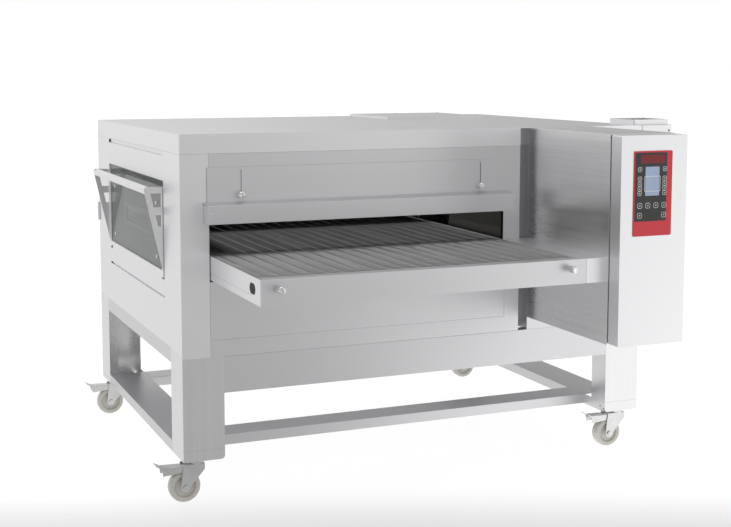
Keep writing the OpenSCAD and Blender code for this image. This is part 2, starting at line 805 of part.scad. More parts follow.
module tray_knobs() for (x = tray_knob_xs) translate([x, -conveyor_out, tray_knob_z]) {
    bar_y(tray_neck[0], -tray_neck[1], 0);
    bar_y(knob_r, -tray_knob_out + knob_cap, -tray_neck[1]);
    bar_y(knob_r - knob_cap, -tray_knob_out, -tray_knob_out + knob_cap);
}

module front_tray_knobs() in_frame() color("silver") tray_knobs();
module rear_tray_knobs() in_frame() color("silver") at_rear() tray_knobs();

// ---------------------------------------------------------------- control box

control_x1 = machine_x + control_w;
cover_y = -control_out + cover_d;
cover_gap = 8;
neck_in = 6;
neck_len = 24;                           // how far the neck reaches into the cover
edge_line = 29;                          // distance of a pressed line from the wall's edge

module control_box() in_frame() color("silver") difference() {
    union() {
        block([machine_x, cover_y + cover_gap, control_z], [control_x1, 0, body_h]);
        block([machine_x + neck_in, cover_y - neck_len, control_z + neck_in],
              [control_x1 - neck_in, cover_y + cover_gap + cut, body_h - neck_in]);
    }
    block([machine_x + sheet, cover_y + cover_gap + sheet, control_z + sheet],
          [control_x1 - sheet, -sheet, body_h - sheet]);
    block([machine_x + neck_in + sheet, cover_y - neck_len - cut, control_z + neck_in + sheet],
          [control_x1 - neck_in - sheet, cover_y + cover_gap + 2 * sheet, body_h - neck_in - sheet]);
    translate([0, axis_y, axis_z]) bar_x(shaft_r + shaft_clear, machine_x - cut, machine_x + sheet + cut);
    for (z = [control_z + edge_line, body_h - edge_line - line_w / 2])
        block([machine_x - cut, cover_y, z], [machine_x + groove_line / 2, cut, z + line_w / 2]);
}

cover_inset = 2;
cover_lift = 3;                          // lower edge of the cover above the box's
cover_r = 4;

module control_box_cover() in_frame() color("whitesmoke") difference() {
    along_y(-control_out, cover_y)
        translate([machine_x, control_z + cover_lift])
            round_rect(control_w, body_h - control_z - cover_lift - cover_inset, cover_r);
    block([machine_x + sheet, -control_out + sheet, control_z + cover_lift + sheet],
          [control_x1 - sheet, cover_y + cut, body_h - cover_inset - sheet]);
}

keypad_x = machine_x + 44;
keypad_z = 369;

module keypad_panel() in_frame() color("firebrick")
    along_y(-control_out - keypad_t, -control_out)
        translate([keypad_x, keypad_z]) round_rect(keypad_w, keypad_h, cover_r);

gearbox_x = [chain_x + 24, chain_x + 84];
gearbox_y = [-55, 55];
gearbox_z = [-55, 70];
gear_motor_r = 45;
gear_motor_end = control_x1 - 12;
gear_foot = [[0, -70, -68], [8, 70, -50]];
sprocket_hub = [14, 20];                 // radius of the motor sprocket's hub, and where it ends
motor_shaft_tip = 2;

module gear_motor() in_frame() color("dimgray") translate([0, motor_y, motor_z]) {
    block([gearbox_x[0], gearbox_y[0], gearbox_z[0]], [gearbox_x[1], gearbox_y[1], gearbox_z[1]]);
    bar_x(gear_motor_r, gearbox_x[1], gear_motor_end);
    bar_x(motor_shaft_r, chain_x - motor_shaft_tip, gearbox_x[0] + cut);
    translate([gearbox_x[0], 0, 0]) block(gear_foot[0], gear_foot[1]);
}

module motor_sprocket() in_frame() color("silver") translate([0, motor_y, motor_z]) difference() {
    union() {
        chain_sprocket();
        bar_x(sprocket_hub[0], chain_x + chain_wheel_w, chain_x + sprocket_hub[1]);
    }
    bar_x(motor_shaft_r + run_gap, chain_x - cut, chain_x + sprocket_hub[1] + cut);
}

chain_run = [motor_y - axis_y, motor_z - axis_z];

// The chain as a closed band round both chain sprockets.
module drive_chain() in_frame() color("dimgray")
    translate([0, axis_y, axis_z]) rotate([atan2(chain_run.y, chain_run.x), 0, 0])
        along_x(chain_x, chain_x + chain_wheel_w) difference() {
            stadium(norm(chain_run), chain_r + chain_t);
            stadium(norm(chain_run), chain_r);
        }

// ---------------------------------------------------------------- stand

leg_t = 3;
inner_flange = 87;
lip = 33;
foot_r = 12;                             // rounded lower inner corner of a leg's web
foot_t = 4;                              // thickness of the foot plate over a caster
lip_hole = [lip / 2 + 2, 0, -30];
lip_hole_r = 6;
foot_hole = [0, 30, rail_low_h / 2 - leg_h];
foot_hole_r = 4;

// A folded leg: a web on the face, a deep flange outside with a lip, a short flange inside and
// a low wall beside the foot that meets the lower side rail.
module leg() difference() {
    union() {
        difference() {
            block([0, 0, -leg_h], [leg_w, leg_t, -front_lip]);
            block([leg_w - foot_r, -cut, -leg_h - cut], [leg_w + cut, leg_t + cut, foot_r - leg_h]);
        }
        along_y(0, leg_t) translate([leg_w - foot_r, foot_r - leg_h]) circle(foot_r);
        block([0, 0, -leg_h], [leg_t, leg_d, 0]);
        block([0, leg_d - leg_t, -leg_h], [lip, leg_d, 0]);
        block([leg_w - leg_t, 0, foot_r - leg_h], [leg_w, inner_flange, -front_lip]);
        block([leg_w - leg_t, foot_r, -leg_h], [leg_w, leg_d, rail_low_h - leg_h]);
        block([0, 0, -leg_h], [leg_w - foot_r, leg_d, foot_t - leg_h]);
    }
    block([-cut, -cut, -front_lip], [leg_t + cut, sheet, cut]);
    block([-cut, -cut, -leg_h + rail_low_h], [leg_w + cut, groove_line, -leg_h + rail_low_h + line_w / 2]);
    translate(lip_hole) bar_y(lip_hole_r, leg_d - leg_t - cut, leg_d + cut);
    translate(foot_hole) bar_x(foot_hole_r, leg_w - leg_t - cut, leg_w + cut);
}

module leg_front_left() in_frame() color("silver") leg();
module leg_front_right() in_frame() color("silver") at_right() leg();
module leg_rear_left() in_frame() color("silver") at_rear() leg();
module leg_rear_right() in_frame() color("silver") at_right() at_rear() leg();

upper_rail_h = 49;
upper_rail_w = 40;

// A channel along the top of one side of the stand, open inwards.
module upper_side_rail() difference() {
    block([0, leg_d, -upper_rail_h], [upper_rail_w, body_d - leg_d, 0]);
    block([sheet, leg_d - cut, -upper_rail_h + sheet], [upper_rail_w + cut, body_d - leg_d + cut, -sheet]);
}

module upper_side_rails() in_frame() color("silver") {
    upper_side_rail();
    at_right() upper_side_rail();
}

apron_h = 115;
apron_flange = 40;

module apron() difference() {
    block([leg_w, 0, -front_lip - apron_h], [body_w - leg_w, apron_flange, -front_lip]);
    block([leg_w - cut, sheet, -front_lip - apron_h + sheet],
          [body_w - leg_w + cut, apron_flange + cut, -front_lip - sheet]);
}

module aprons() in_frame() color("silver") {
    apron();
    at_rear() apron();
}

// A channel open downwards between two corners.
module low_channel(low, high, along_depth) difference() {
    block([low[0], low[1], -leg_h], [high[0], high[1], -leg_h + rail_low_h]);
    if (along_depth)
        block([low[0] + sheet, low[1] - cut, -leg_h - cut],
              [high[0] - sheet, high[1] + cut, -leg_h + rail_low_h - sheet]);
    else
        block([low[0] - cut, low[1] + sheet, -leg_h - cut],
              [high[0] + cut, high[1] - sheet, -leg_h + rail_low_h - sheet]);
}

module lower_side_rail() low_channel([0, leg_d], [leg_w, body_d - leg_d], true);

module lower_side_rails() in_frame() color("silver") {
    lower_side_rail();
    at_right() lower_side_rail();
}

module lower_cross_rail() low_channel([leg_w, leg_d], [body_w - leg_w, leg_d + cross_rail_w], false);

module lower_cross_rails() in_frame() color("silver") {
    lower_cross_rail();
    at_rear() lower_cross_rail();
}

// ---------------------------------------------------------------- casters

plate_w = 88;
plate_d = 76;
plate_t = 4;
race_r = 27;
race_z = -16;
king_r = 6;
crown_z = -22;
axle_z = -(caster_h - wheel_r);
axle_r = 5;
fork_in = 21;
fork_t = 3;
pedal_pin_x = -34;
pedal_pin_z = -29;
pedal_pin_r = 2.5;
king_h = 15;
king_low = race_z - 14;

// The plate under a leg with the swivel race and king pin.
module caster_plate() {
    block([-plate_w / 2, -plate_d / 2, -plate_t], [plate_w / 2, plate_d / 2, 0]);
    translate([0, 0, race_z]) cylinder(r = race_r, h = -race_z - plate_t);
    translate([0, 0, king_low]) cylinder(r = king_r, h = king_h);
}

module caster_plates() in_frame() color("silver")
    for (right = [false, true], rear = [false, true]) at_caster(right, rear) caster_plate();

fork_front_x = 24;
fork_rear_x = -44;
crown_rear_x = -26;
fork_top = race_z - part_gap;
fork_elbow = [-48, -40];
fork_chin = [fork_front_x, -34];
fork_end_r = 15;
axle_gap = 0.2;
nut_r = 9;
nut_h = 4.3;
bolt_end = 4;                            // how far the bolt reaches past a fork side

// Outline of a fork side: from the crown back and down to the axle.
module fork_side_outline() {
    polygon([[fork_front_x, fork_top], [fork_rear_x, fork_top], fork_elbow, [-trail - fork_end_r, axle_z],
             [-trail + fork_end_r, axle_z], fork_chin]);
    translate([-trail, axle_z]) circle(fork_end_r);
}

// The fork with its axle bolt. The crown turns on the king pin.
module caster_fork() {
    out = fork_in + fork_t;
    difference() {
        union() {
            block([crown_rear_x, -out, crown_z], [fork_front_x, out, fork_top]);
            for (side = [-1, 1])
                along_y(side > 0 ? fork_in : -out, side > 0 ? out : -fork_in) fork_side_outline();
            translate([pedal_pin_x, 0, pedal_pin_z]) bar_y(pedal_pin_r, -fork_in - cut, fork_in + cut);
        }
        translate([0, 0, crown_z - cut]) cylinder(r = king_r + run_gap, h = fork_top - crown_z + 2 * cut);
        translate([-trail, 0, axle_z]) bar_y(axle_r + axle_gap, -out - cut, out + cut);
    }
    translate([-trail, 0, axle_z]) {
        bar_y(axle_r, -out - bolt_end, out + bolt_end);
        for (y = [-out - axle_gap - nut_h, out + axle_gap])
            translate([0, y, 0]) rotate([-90, 0, 0]) cylinder(r = nut_r, h = nut_h, $fn = 6);
    }
}

module caster_fork_front_left() in_frame() color("silver") at_caster(false, false) caster_fork();
module caster_fork_front_right() in_frame() color("silver") at_caster(true, false) caster_fork();
module caster_fork_rear_left() in_frame() color("silver") at_caster(false, true) caster_fork();
module caster_fork_rear_right() in_frame() color("silver") at_caster(true, true) caster_fork();

hub_r = 14;
hub_w = wheel_w + 5;
web_w = 16;
rim_t = 14;
tread_edge = [3, 5];                     // how far the tread's bevel runs in, and along the axle

// A wheel with a thick rim, a thin web and a hub with the axle's bore.
module caster_wheel() translate([-trail, 0, axle_z]) rotate([90, 0, 0])
    rotate_extrude($fn = 72) {
        translate([axle_r + run_gap, -hub_w / 2]) square([hub_r - axle_r - run_gap, hub_w]);
        translate([hub_r - cut, -web_w / 2]) square([wheel_r - rim_t - hub_r + 2 * cut, web_w]);
        polygon([[wheel_r - rim_t, -wheel_w / 2], [wheel_r - tread_edge[0], -wheel_w / 2],
                 [wheel_r, -wheel_w / 2 + tread_edge[1]], [wheel_r, wheel_w / 2 - tread_edge[1]],
                 [wheel_r - tread_edge[0], wheel_w / 2], [wheel_r - rim_t, wheel_w / 2]]);
    }

module caster_wheel_front_left() in_frame() color("tan") at_caster(false, false) caster_wheel();
module caster_wheel_front_right() in_frame() color("tan") at_caster(true, false) caster_wheel();
module caster_wheel_rear_left() in_frame() color("tan") at_caster(false, true) caster_wheel();
module caster_wheel_rear_right() in_frame() color("tan") at_caster(true, true) caster_wheel();

pedal_in = wheel_w / 2 + 1;
pedal_t = 2;
pedal_front = pedal_pin_x + 5;
skirt_low_z = -36;
pedal_top_z = -22.5;
pedal_low_z = -24.6;
pedal_bend = [[-111, -20], [-113, -23]]; // upper and lower corner of the bend before the tip
pedal_tip = [-10, -12.5];                // heights of the tip's upper and lower edge
skirt_points = [[-112, -20], [-108, -46], [-60, -42]];
shoe_low = [-64, -12, -35.7];
shoe_high = [-50, 12, pedal_top_z];

// Outline of the pedal's skirts, which straddle the wheel's top.
module pedal_side_outline()
    polygon([[pedal_front, pedal_top_z], skirt_points[0], skirt_points[1], skirt_points[2],
             [pedal_front, skirt_low_z]]);

// A foot pedal that presses its shoe on the wheel: a bent top plate with skirts and a raised tip.
module brake_pedal() difference() {
    out = pedal_in + pedal_t;
    union() {
        for (side = [-1, 1])
            along_y(side > 0 ? pedal_in : -out, side > 0 ? out : -pedal_in) pedal_side_outline();
        along_y(-out, out)
            polygon([[pedal_front, pedal_top_z], pedal_bend[0], [-pedal_reach, pedal_tip[0]],
                     [-pedal_reach, pedal_tip[1]], pedal_bend[1], [pedal_front, pedal_low_z]]);
        block(shoe_low, shoe_high);
    }
    translate([pedal_pin_x, 0, pedal_pin_z])
        bar_y(pedal_pin_r + run_gap, -pedal_in - pedal_t - cut, pedal_in + pedal_t + cut);
}

module brake_pedal_front_left() in_frame() color("silver") at_caster(false, false) brake_pedal();
module brake_pedal_front_right() in_frame() color("silver") at_caster(true, false) brake_pedal();
module brake_pedal_rear_left() in_frame() color("silver") at_caster(false, true) brake_pedal();
module brake_pedal_rear_right() in_frame() color("silver") at_caster(true, true) brake_pedal();

// ---------------------------------------------------------------- drawing

base_pan();
corner_posts();
left_service_panel();
front_panel();
rear_panel();
right_casing();
top_cover();
top_access_plate();
baking_chamber();
air_fingers();
circulation_fan();
fan_motor();
burner_tube();
flue_box();
flue_collar();
door_glass();
door_handle_frame();
door_hinges();
front_shutter();
rear_shutter();
front_left_knob();
front_right_knob();
rear_left_knob();
rear_right_knob();
conveyor_frame();
mesh_belt();
bearing_blocks();
drive_shaft();
idler_shaft();
front_crumb_tray();
rear_crumb_tray();
front_tray_knobs();
rear_tray_knobs();
control_box();
control_box_cover();
keypad_panel();
gear_motor();
motor_sprocket();
drive_chain();
leg_front_left();
leg_front_right();
leg_rear_left();
leg_rear_right();
upper_side_rails();
aprons();
lower_side_rails();
lower_cross_rails();
caster_plates();
caster_fork_front_left();
caster_fork_front_right();
caster_fork_rear_left();
caster_fork_rear_right();
caster_wheel_front_left();
caster_wheel_front_right();
caster_wheel_rear_left();
caster_wheel_rear_right();
brake_pedal_front_left();
brake_pedal_front_right();
brake_pedal_rear_left();
brake_pedal_rear_right();
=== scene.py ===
"""Conveyor pizza oven on a wheeled stand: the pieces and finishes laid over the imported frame."""

import json
import logging
import math
from collections.abc import Callable, Iterable, Sequence
from dataclasses import dataclass, field
from enum import Enum

import bmesh
import bpy
from mathutils import Matrix, Vector

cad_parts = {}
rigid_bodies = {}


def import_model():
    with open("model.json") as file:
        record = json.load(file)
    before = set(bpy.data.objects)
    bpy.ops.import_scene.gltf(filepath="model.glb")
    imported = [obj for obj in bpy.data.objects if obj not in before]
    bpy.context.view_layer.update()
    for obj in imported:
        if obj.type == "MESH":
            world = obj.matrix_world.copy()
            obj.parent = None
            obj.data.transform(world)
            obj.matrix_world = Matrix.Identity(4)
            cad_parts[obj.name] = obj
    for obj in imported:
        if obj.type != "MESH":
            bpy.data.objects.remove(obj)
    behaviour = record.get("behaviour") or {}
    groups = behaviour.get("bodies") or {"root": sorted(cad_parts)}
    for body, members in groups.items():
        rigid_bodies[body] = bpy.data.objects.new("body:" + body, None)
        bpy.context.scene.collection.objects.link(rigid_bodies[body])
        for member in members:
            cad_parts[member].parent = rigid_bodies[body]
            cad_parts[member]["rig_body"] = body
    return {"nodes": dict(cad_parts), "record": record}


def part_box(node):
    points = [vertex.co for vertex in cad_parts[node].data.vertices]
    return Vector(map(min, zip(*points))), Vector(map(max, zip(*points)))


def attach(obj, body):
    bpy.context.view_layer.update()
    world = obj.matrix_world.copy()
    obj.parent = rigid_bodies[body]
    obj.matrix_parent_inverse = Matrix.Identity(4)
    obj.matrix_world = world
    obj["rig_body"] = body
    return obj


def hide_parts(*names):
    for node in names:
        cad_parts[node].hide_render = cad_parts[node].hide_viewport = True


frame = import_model()

LOG = logging.getLogger("oven")
MILLI = 0.001
JOIN_GAP = 2e-6
WELD_GAP = 1e-7
FLAT_ANGLE = math.radians(0.6)
FOLD_ANGLE = math.radians(60)
RIM_ANGLE = math.radians(45)
SHEET_EDGE = 3.2 * MILLI
VOLUME_SLACK = 0.06
Colour = tuple[float, float, float]
Point = tuple[float, float, float]


# ---------------------------------------------------------------- node trees


class Tree:
    """Adds nodes to a shader or geometry tree and joins them."""

    def __init__(self, tree: bpy.types.NodeTree) -> None:
        """Starts from an empty tree."""
        self.tree = tree
        tree.nodes.clear()

    def node(self, kind: str, values: dict | None = None, **settings: object) -> bpy.types.Node:
        """Adds one node.

        Args:
            kind: the node's type name.
            values: input name or number to a constant or to another node's output.
            settings: attributes of the node, set before its inputs.

        Returns:
            The new node.
        """
        made = self.tree.nodes.new(kind)
        for key, value in settings.items():
            setattr(made, key, value)
        for key, value in (values or {}).items():
            if isinstance(value, bpy.types.NodeSocket):
                self.tree.links.new(value, made.inputs[key])
            else:
                made.inputs[key].default_value = value
        return made

    def sum(self, operation: str, first: object, second: object = 0.0) -> bpy.types.NodeSocket:
        """Returns the output of one Math node."""
        return self.node("ShaderNodeMath", {0: first, 1: second}, operation=operation).outputs[0]

    def vector(self, operation: str, first: object, second: object) -> bpy.types.NodeSocket:
        """Returns the vector output of one Vector Math node."""
        return self.node("ShaderNodeVectorMath", {0: first, 1: second}, operation=operation).outputs[0]

    def span(self, value: object, low: float, high: float, to_low: float = 0.0,
             to_high: float = 1.0, smooth: bool = False) -> bpy.types.NodeSocket:
        """Maps a value from one span to another.

        Args:
            value: the output to map.
            low: start of the span it has.
            high: end of the span it has.
            to_low: what the start becomes.
            to_high: what the end becomes.
            smooth: eases both ends.

        Returns:
            The mapped output.
        """
        kind = "SMOOTHSTEP" if smooth else "LINEAR"
        return self.node("ShaderNodeMapRange", {"Value": value, "From Min": low, "From Max": high,
                                                "To Min": to_low, "To Max": to_high},
                         interpolation_type=kind, clamp=True).outputs[0]

    def blend(self, share: object, first: object, second: object) -> bpy.types.NodeSocket:
        """Mixes two colours by a share."""
        return self.node("ShaderNodeMix", {0: share, 6: first, 7: second}, data_type="RGBA").outputs[2]

    def noise(self, place: object, scale: float, detail: float = 3.0,
              rough: float = 0.55) -> bpy.types.NodeSocket:
        """Returns the value of a noise pattern at a place."""
        return self.node("ShaderNodeTexNoise", {"Vector": place, "Scale": scale, "Detail": detail,
                                                "Roughness": rough}).outputs[0]


def shade(colour: Colour, share: float) -> tuple[float, float, float, float]:
    """Returns a colour made lighter or darker by a share, with full cover."""
    return (*(min(1.0, part * share) for part in colour), 1.0)


# ---------------------------------------------------------------- finishes


class Grain(Enum):
    """Which way the brushed lines of a sheet run."""

    LEVEL = "level"
    UPRIGHT = "upright"


@dataclass(frozen=True)
class Finish:
    """A procedural finish. Its subclasses fill in the nodes."""

    name: str
    colour: Colour

    def material(self) -> bpy.types.Material:
        """Makes the material, or returns it if it is there already."""
        found = bpy.data.materials.get(self.name)
        if found is not None:
            return found
        made = bpy.data.materials.new(self.name)
        made.use_nodes = True
        tree = Tree(made.node_tree)
        surface = tree.node("ShaderNodeBsdfPrincipled")
        surface.inputs["Base Color"].default_value = shade(self.colour, 1.0)
        out = tree.node("ShaderNodeOutputMaterial")
        tree.tree.links.new(surface.outputs[0], out.inputs[0])
        self.nodes(tree, surface, tree.node("ShaderNodeTexCoord"))
        made.diffuse_color = shade(self.colour, 1.0)
        return made

    def nodes(self, tree: Tree, surface: bpy.types.Node, place: bpy.types.Node) -> None:
        """Fills in the nodes between the place on the piece and the surface."""
        raise NotImplementedError

    @staticmethod
    def bump(tree: Tree, surface: bpy.types.Node, height: bpy.types.NodeSocket,
             strength: float, depth: float) -> None:
        """Joins a height pattern to the surface's normal."""
        bump = tree.node("ShaderNodeBump", {"Height": height, "Strength": strength, "Distance": depth})
        tree.tree.links.new(bump.outputs[0], surface.inputs["Normal"])


@dataclass(frozen=True)
class BrushedSteel(Finish):
    """Satin brushed sheet: fine lines, soft cloudy handling marks, a little unevenness."""

    roughness: float = 0.3
    grain: Grain = Grain.LEVEL
    streak: float = 0.07
    long_scale: float = 1.6
    cross_scale: float = 110.0

    def nodes(self, tree: Tree, surface: bpy.types.Node, place: bpy.types.Node) -> None:
        """Draws lines that run along each face, whichever way it looks."""
        here, facing = place.outputs["Object"], place.outputs["Normal"]
        long, cross = self.long_scale, self.cross_scale
        if self.grain is Grain.LEVEL:
            parts = tree.node("ShaderNodeSeparateXYZ", {0: facing})
            sideways = tree.sum("GREATER_THAN", tree.sum("ABSOLUTE", parts.outputs[0]), 0.7)
            along_x = tree.vector("MULTIPLY", here, (long, cross, cross))
            along_y = tree.vector("MULTIPLY", here, (cross, long, cross))
            mixed = tree.node("ShaderNodeMix", {0: sideways, 4: along_x, 5: along_y}, data_type="VECTOR")
            lines_at = mixed.outputs[1]
        else:
            lines_at = tree.vector("MULTIPLY", here, (cross, cross, long))
        lines = tree.noise(lines_at, 1.0, 6.0, 0.65)
        marks = tree.noise(here, 2.6, 3.0, 0.5)
        fine = tree.noise(here, 34.0, 4.0, 0.6)
        mixed_lines = tree.sum("ADD", tree.sum("MULTIPLY", lines, 0.7), tree.sum("MULTIPLY", marks, 0.3))
        light = tree.span(mixed_lines, 0.3, 0.7)
        colour = tree.blend(light, shade(self.colour, 1 - self.streak), shade(self.colour, 1 + self.streak))
        tree.tree.links.new(colour, surface.inputs["Base Color"])
        surface.inputs["Metallic"].default_value = 1.0
        rough = tree.sum("ADD", tree.span(lines, 0.3, 0.7, -0.03, 0.03),
                         tree.span(marks, 0.35, 0.7, -0.03, 0.05))
        rough = tree.sum("ADD", tree.sum("ADD", rough, tree.span(fine, 0.4, 0.8, 0.0, 0.03)), self.roughness)
        tree.tree.links.new(rough, surface.inputs["Roughness"])
        self.bump(tree, surface, lines, 0.05, 0.0002)


@dataclass(frozen=True)
class HeatedSteel(Finish):
    """Sheet darkened by heat, with straw tints and baked-on film."""

    roughness: float = 0.42
    warm: Colour = (0.085, 0.068, 0.05)

    def nodes(self, tree: Tree, surface: bpy.types.Node, place: bpy.types.Node) -> None:
        """Mixes the tints over a cloudy film."""
        here = place.outputs["Object"]
        tint, film = tree.noise(here, 3.5, 4.0), tree.noise(here, 26.0, 6.0, 0.65)
        warm = tree.blend(tree.span(tint, 0.35, 0.65), shade(self.warm, 1.0), shade(self.colour, 1.25))
        colour = tree.blend(tree.span(film, 0.45, 0.75), warm, shade(self.colour, 0.55))
        tree.tree.links.new(colour, surface.inputs["Base Color"])
        surface.inputs["Metallic"].default_value = 0.85
        tree.tree.links.new(tree.span(film, 0.3, 0.7, self.roughness - 0.1, self.roughness + 0.2),
                            surface.inputs["Roughness"])
        self.bump(tree, surface, film, 0.15, 0.0004)


@dataclass(frozen=True)
class PlainMetal(Finish):
    """Turned, plated or drawn metal with a fine all-over texture."""

    roughness: float = 0.2
    spread: float = 0.12
    scale: float = 180.0
    patch: Colour = (0.0, 0.0, 0.0)
    patch_share: float = 0.0
    relief: float = 0.00008
    metal: float = 1.0

    def nodes(self, tree: Tree, surface: bpy.types.Node, place: bpy.types.Node) -> None:
        """Mixes a fine and a broad pattern into tone, gloss and relief."""
        here = place.outputs["Object"]
        fine, broad = tree.noise(here, self.scale, 5.0, 0.6), tree.noise(here, 22.0, 3.0)
        base = tree.blend(tree.span(fine, 0.35, 0.65), shade(self.colour, 1 - self.spread),
                          shade(self.colour, 1 + self.spread))
        share = tree.span(broad, 0.45, 0.7, 0.0, self.patch_share)
        tree.tree.links.new(tree.blend(share, base, shade(self.patch, 1.0)), surface.inputs["Base Color"])
        surface.inputs["Metallic"].default_value = self.metal
        rough = tree.sum("ADD", tree.span(fine, 0.3, 0.7, -0.04, 0.05),
                         tree.span(broad, 0.4, 0.7, 0.0, 0.08))
        tree.tree.links.new(tree.sum("ADD", rough, self.roughness), surface.inputs["Roughness"])
        self.bump(tree, surface, fine, 0.2, self.relief)


@dataclass(frozen=True)
class Moulded(Finish):
    """Moulded plastic or paint with an orange-peel skin, faint clouding and scuffs."""

    roughness: float = 0.4
    skin: float = 260.0
    relief: float = 0.00015
    scuff: Colour = (0.5, 0.5, 0.5)
    scuff_share: float = 0.1
    gloss: float = 0.5

    def nodes(self, tree: Tree, surface: bpy.types.Node, place: bpy.types.Node) -> None:
        """Mixes clouding and scuffs over the skin's relief."""
        here = place.outputs["Object"]
        skin, cloud = tree.noise(here, self.skin, 3.0), tree.noise(here, 14.0, 4.0)
        marks = tree.noise(here, 75.0, 8.0, 0.7)
        base = tree.blend(tree.span(cloud, 0.35, 0.65), shade(self.colour, 0.93), shade(self.colour, 1.07))
        share = tree.span(marks, 0.58, 0.78, 0.0, self.scuff_share)
        tree.tree.links.new(tree.blend(share, base, shade(self.scuff, 1.0)), surface.inputs["Base Color"])
        rough = tree.sum("ADD", tree.span(marks, 0.4, 0.75, -0.03, 0.12), self.roughness)
        tree.tree.links.new(rough, surface.inputs["Roughness"])
        surface.inputs["Specular IOR Level"].default_value = self.gloss
        self.bump(tree, surface, skin, 0.25, self.relief)


@dataclass(frozen=True)
class SmokyGlass(Finish):
    """Clear heat-resistant glass with a faint tint and wipe marks."""

    def nodes(self, tree: Tree, surface: bpy.types.Node, place: bpy.types.Node) -> None:
        """Lets light through, with wipe marks in the gloss."""
        wipe = tree.noise(tree.vector("MULTIPLY", place.outputs["Object"], (1.0, 5.0, 22.0)), 1.0, 5.0, 0.6)
        tree.tree.links.new(tree.span(wipe, 0.35, 0.75, 0.01, 0.07), surface.inputs["Roughness"])
        surface.inputs["Transmission Weight"].default_value = 1.0
        surface.inputs["IOR"].default_value = 1.13


@dataclass(frozen=True)
class ScreenGlow(Finish):
    """A small liquid-crystal screen, lit from behind, with its fine dot grid."""

    def nodes(self, tree: Tree, surface: bpy.types.Node, place: bpy.types.Node) -> None:
        """Draws the dot grid and a soft unevenness of the light."""
        here = place.outputs["Object"]
        waves = tree.node("ShaderNodeTexWave", {"Vector": here, "Scale": 320.0}, bands_direction="Z")
        cloud = tree.noise(here, 30.0, 2.0)
        light = tree.sum("MULTIPLY", tree.span(waves.outputs[1], 0.0, 1.0, 0.86, 1.0),
                         tree.span(cloud, 0.3, 0.7, 0.9, 1.05))
        colour = tree.blend(light, shade(self.colour, 0.3), shade(self.colour, 1.05))
        tree.tree.links.new(colour, surface.inputs["Base Color"])
        tree.tree.links.new(colour, surface.inputs["Emission Color"])
        surface.inputs["Emission Strength"].default_value = 0.15
        surface.inputs["Roughness"].default_value = 0.16


BRIGHT = BrushedSteel("bright_sheet", (0.74, 0.74, 0.745), roughness=0.28)
WIDE = BrushedSteel("wide_sheet", (0.71, 0.71, 0.715), roughness=0.26)
STAND = BrushedSteel("stand_steel", (0.71, 0.71, 0.715), roughness=0.28)
UPRIGHT = BrushedSteel("upright_steel", (0.71, 0.71, 0.715), roughness=0.28, grain=Grain.UPRIGHT,
                       streak=0.035)
SLOT_FINISHES: dict[str, Finish] = {
    "bright_sheet": BRIGHT,
    "wide_sheet": WIDE,
    "stand_steel": STAND,
    "chamber_steel": HeatedSteel("chamber_steel", (0.07, 0.068, 0.066)),
    "knob_steel": PlainMetal("knob_steel", (0.86, 0.86, 0.87), roughness=0.16, spread=0.04),
    "zinc": PlainMetal("bright_zinc", (0.62, 0.625, 0.62), roughness=0.2, spread=0.03, scale=60.0,
                       patch=(0.50, 0.51, 0.47), patch_share=0.25, relief=0.00004),
    "belt_wire": PlainMetal("belt_wire", (0.80, 0.80, 0.795), roughness=0.45, spread=0.06, scale=300.0,
                            metal=0.3),
    "shaft_steel": PlainMetal("shaft_steel", (0.60, 0.60, 0.61), roughness=0.25, scale=240.0),
    "black_plastic": Moulded("black_plastic", (0.02, 0.02, 0.02), scuff=(0.12, 0.12, 0.12)),
    "motor_paint": Moulded("motor_paint", (0.05, 0.05, 0.055), roughness=0.45, skin=140.0, relief=0.0003),
    "chain_steel": PlainMetal("chain_steel", (0.24, 0.22, 0.20), roughness=0.32, spread=0.2, scale=120.0,
                              patch=(0.08, 0.06, 0.04), patch_share=0.6),
    "wheel_nylon": Moulded("wheel_nylon", (0.44, 0.415, 0.385), roughness=0.42, scuff=(0.60, 0.58, 0.54),
                           scuff_share=0.35),
    "door_glass": SmokyGlass("door_glass", (0.86, 0.88, 0.88)),
    "keypad_film": Moulded("keypad_film", (0.56, 0.002, 0.010), roughness=0.5, skin=420.0, relief=0.00006,
                           scuff=(0.6, 0.03, 0.04), scuff_share=0.05, gloss=0.2),
    "hinge_steel": PlainMetal("hinge_steel", (0.45, 0.45, 0.46), roughness=0.3),
}
ENAMEL = Moulded("door_enamel", (0.035, 0.038, 0.038), roughness=0.3, skin=500.0, relief=0.00004,
                 scuff=(0.06, 0.06, 0.06), scuff_share=0.3)
KEY_FIELD = Moulded("key_field", (0.022, 0.022, 0.024), roughness=0.42, skin=420.0, relief=0.00006,
                    scuff=(0.05, 0.05, 0.05))
KEY_BAND = Moulded("key_band", (0.20, 0.006, 0.010), roughness=0.45, skin=420.0, relief=0.00006)
KEY_WHITE = Moulded("key_white", (0.78, 0.78, 0.76), roughness=0.4, scuff=(0.6, 0.6, 0.6))
SCREEN = ScreenGlow("key_screen", (0.30, 0.38, 0.52))
# The control box's walls: the same brushed steel with a lighter colour, a painted brightening that stands in
# for light the walls don't get.
BOX_WALL_PAINTED_LIGHTER = BrushedSteel("box_wall_sheet", (0.84, 0.84, 0.845), roughness=0.30)
WINDOW_RIM = BrushedSteel("window_rim", (0.62, 0.62, 0.61), roughness=0.35)


# ---------------------------------------------------------------- meshes


def slots_by_node() -> dict[str, str]:
    """Returns the record's material slot of each CAD node."""
    return {part["node"]: part["material_slot"] for part in frame["record"]["subparts"]}


SLOTS = slots_by_node()


def body_of(node: str) -> str:
    """Returns the name of the body that a CAD node rides on."""
    return frame["nodes"][node]["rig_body"]


def merged_copy(node: str) -> bmesh.types.BMesh:
    """Copies a CAD node's triangles with their shared corners joined and flat faces made whole."""
    form = bmesh.new()
    form.from_mesh(frame["nodes"][node].data)
    bmesh.ops.remove_doubles(form, verts=form.verts, dist=JOIN_GAP)
    bmesh.ops.dissolve_limit(form, angle_limit=FLAT_ANGLE, verts=form.verts, edges=form.edges)
    return form


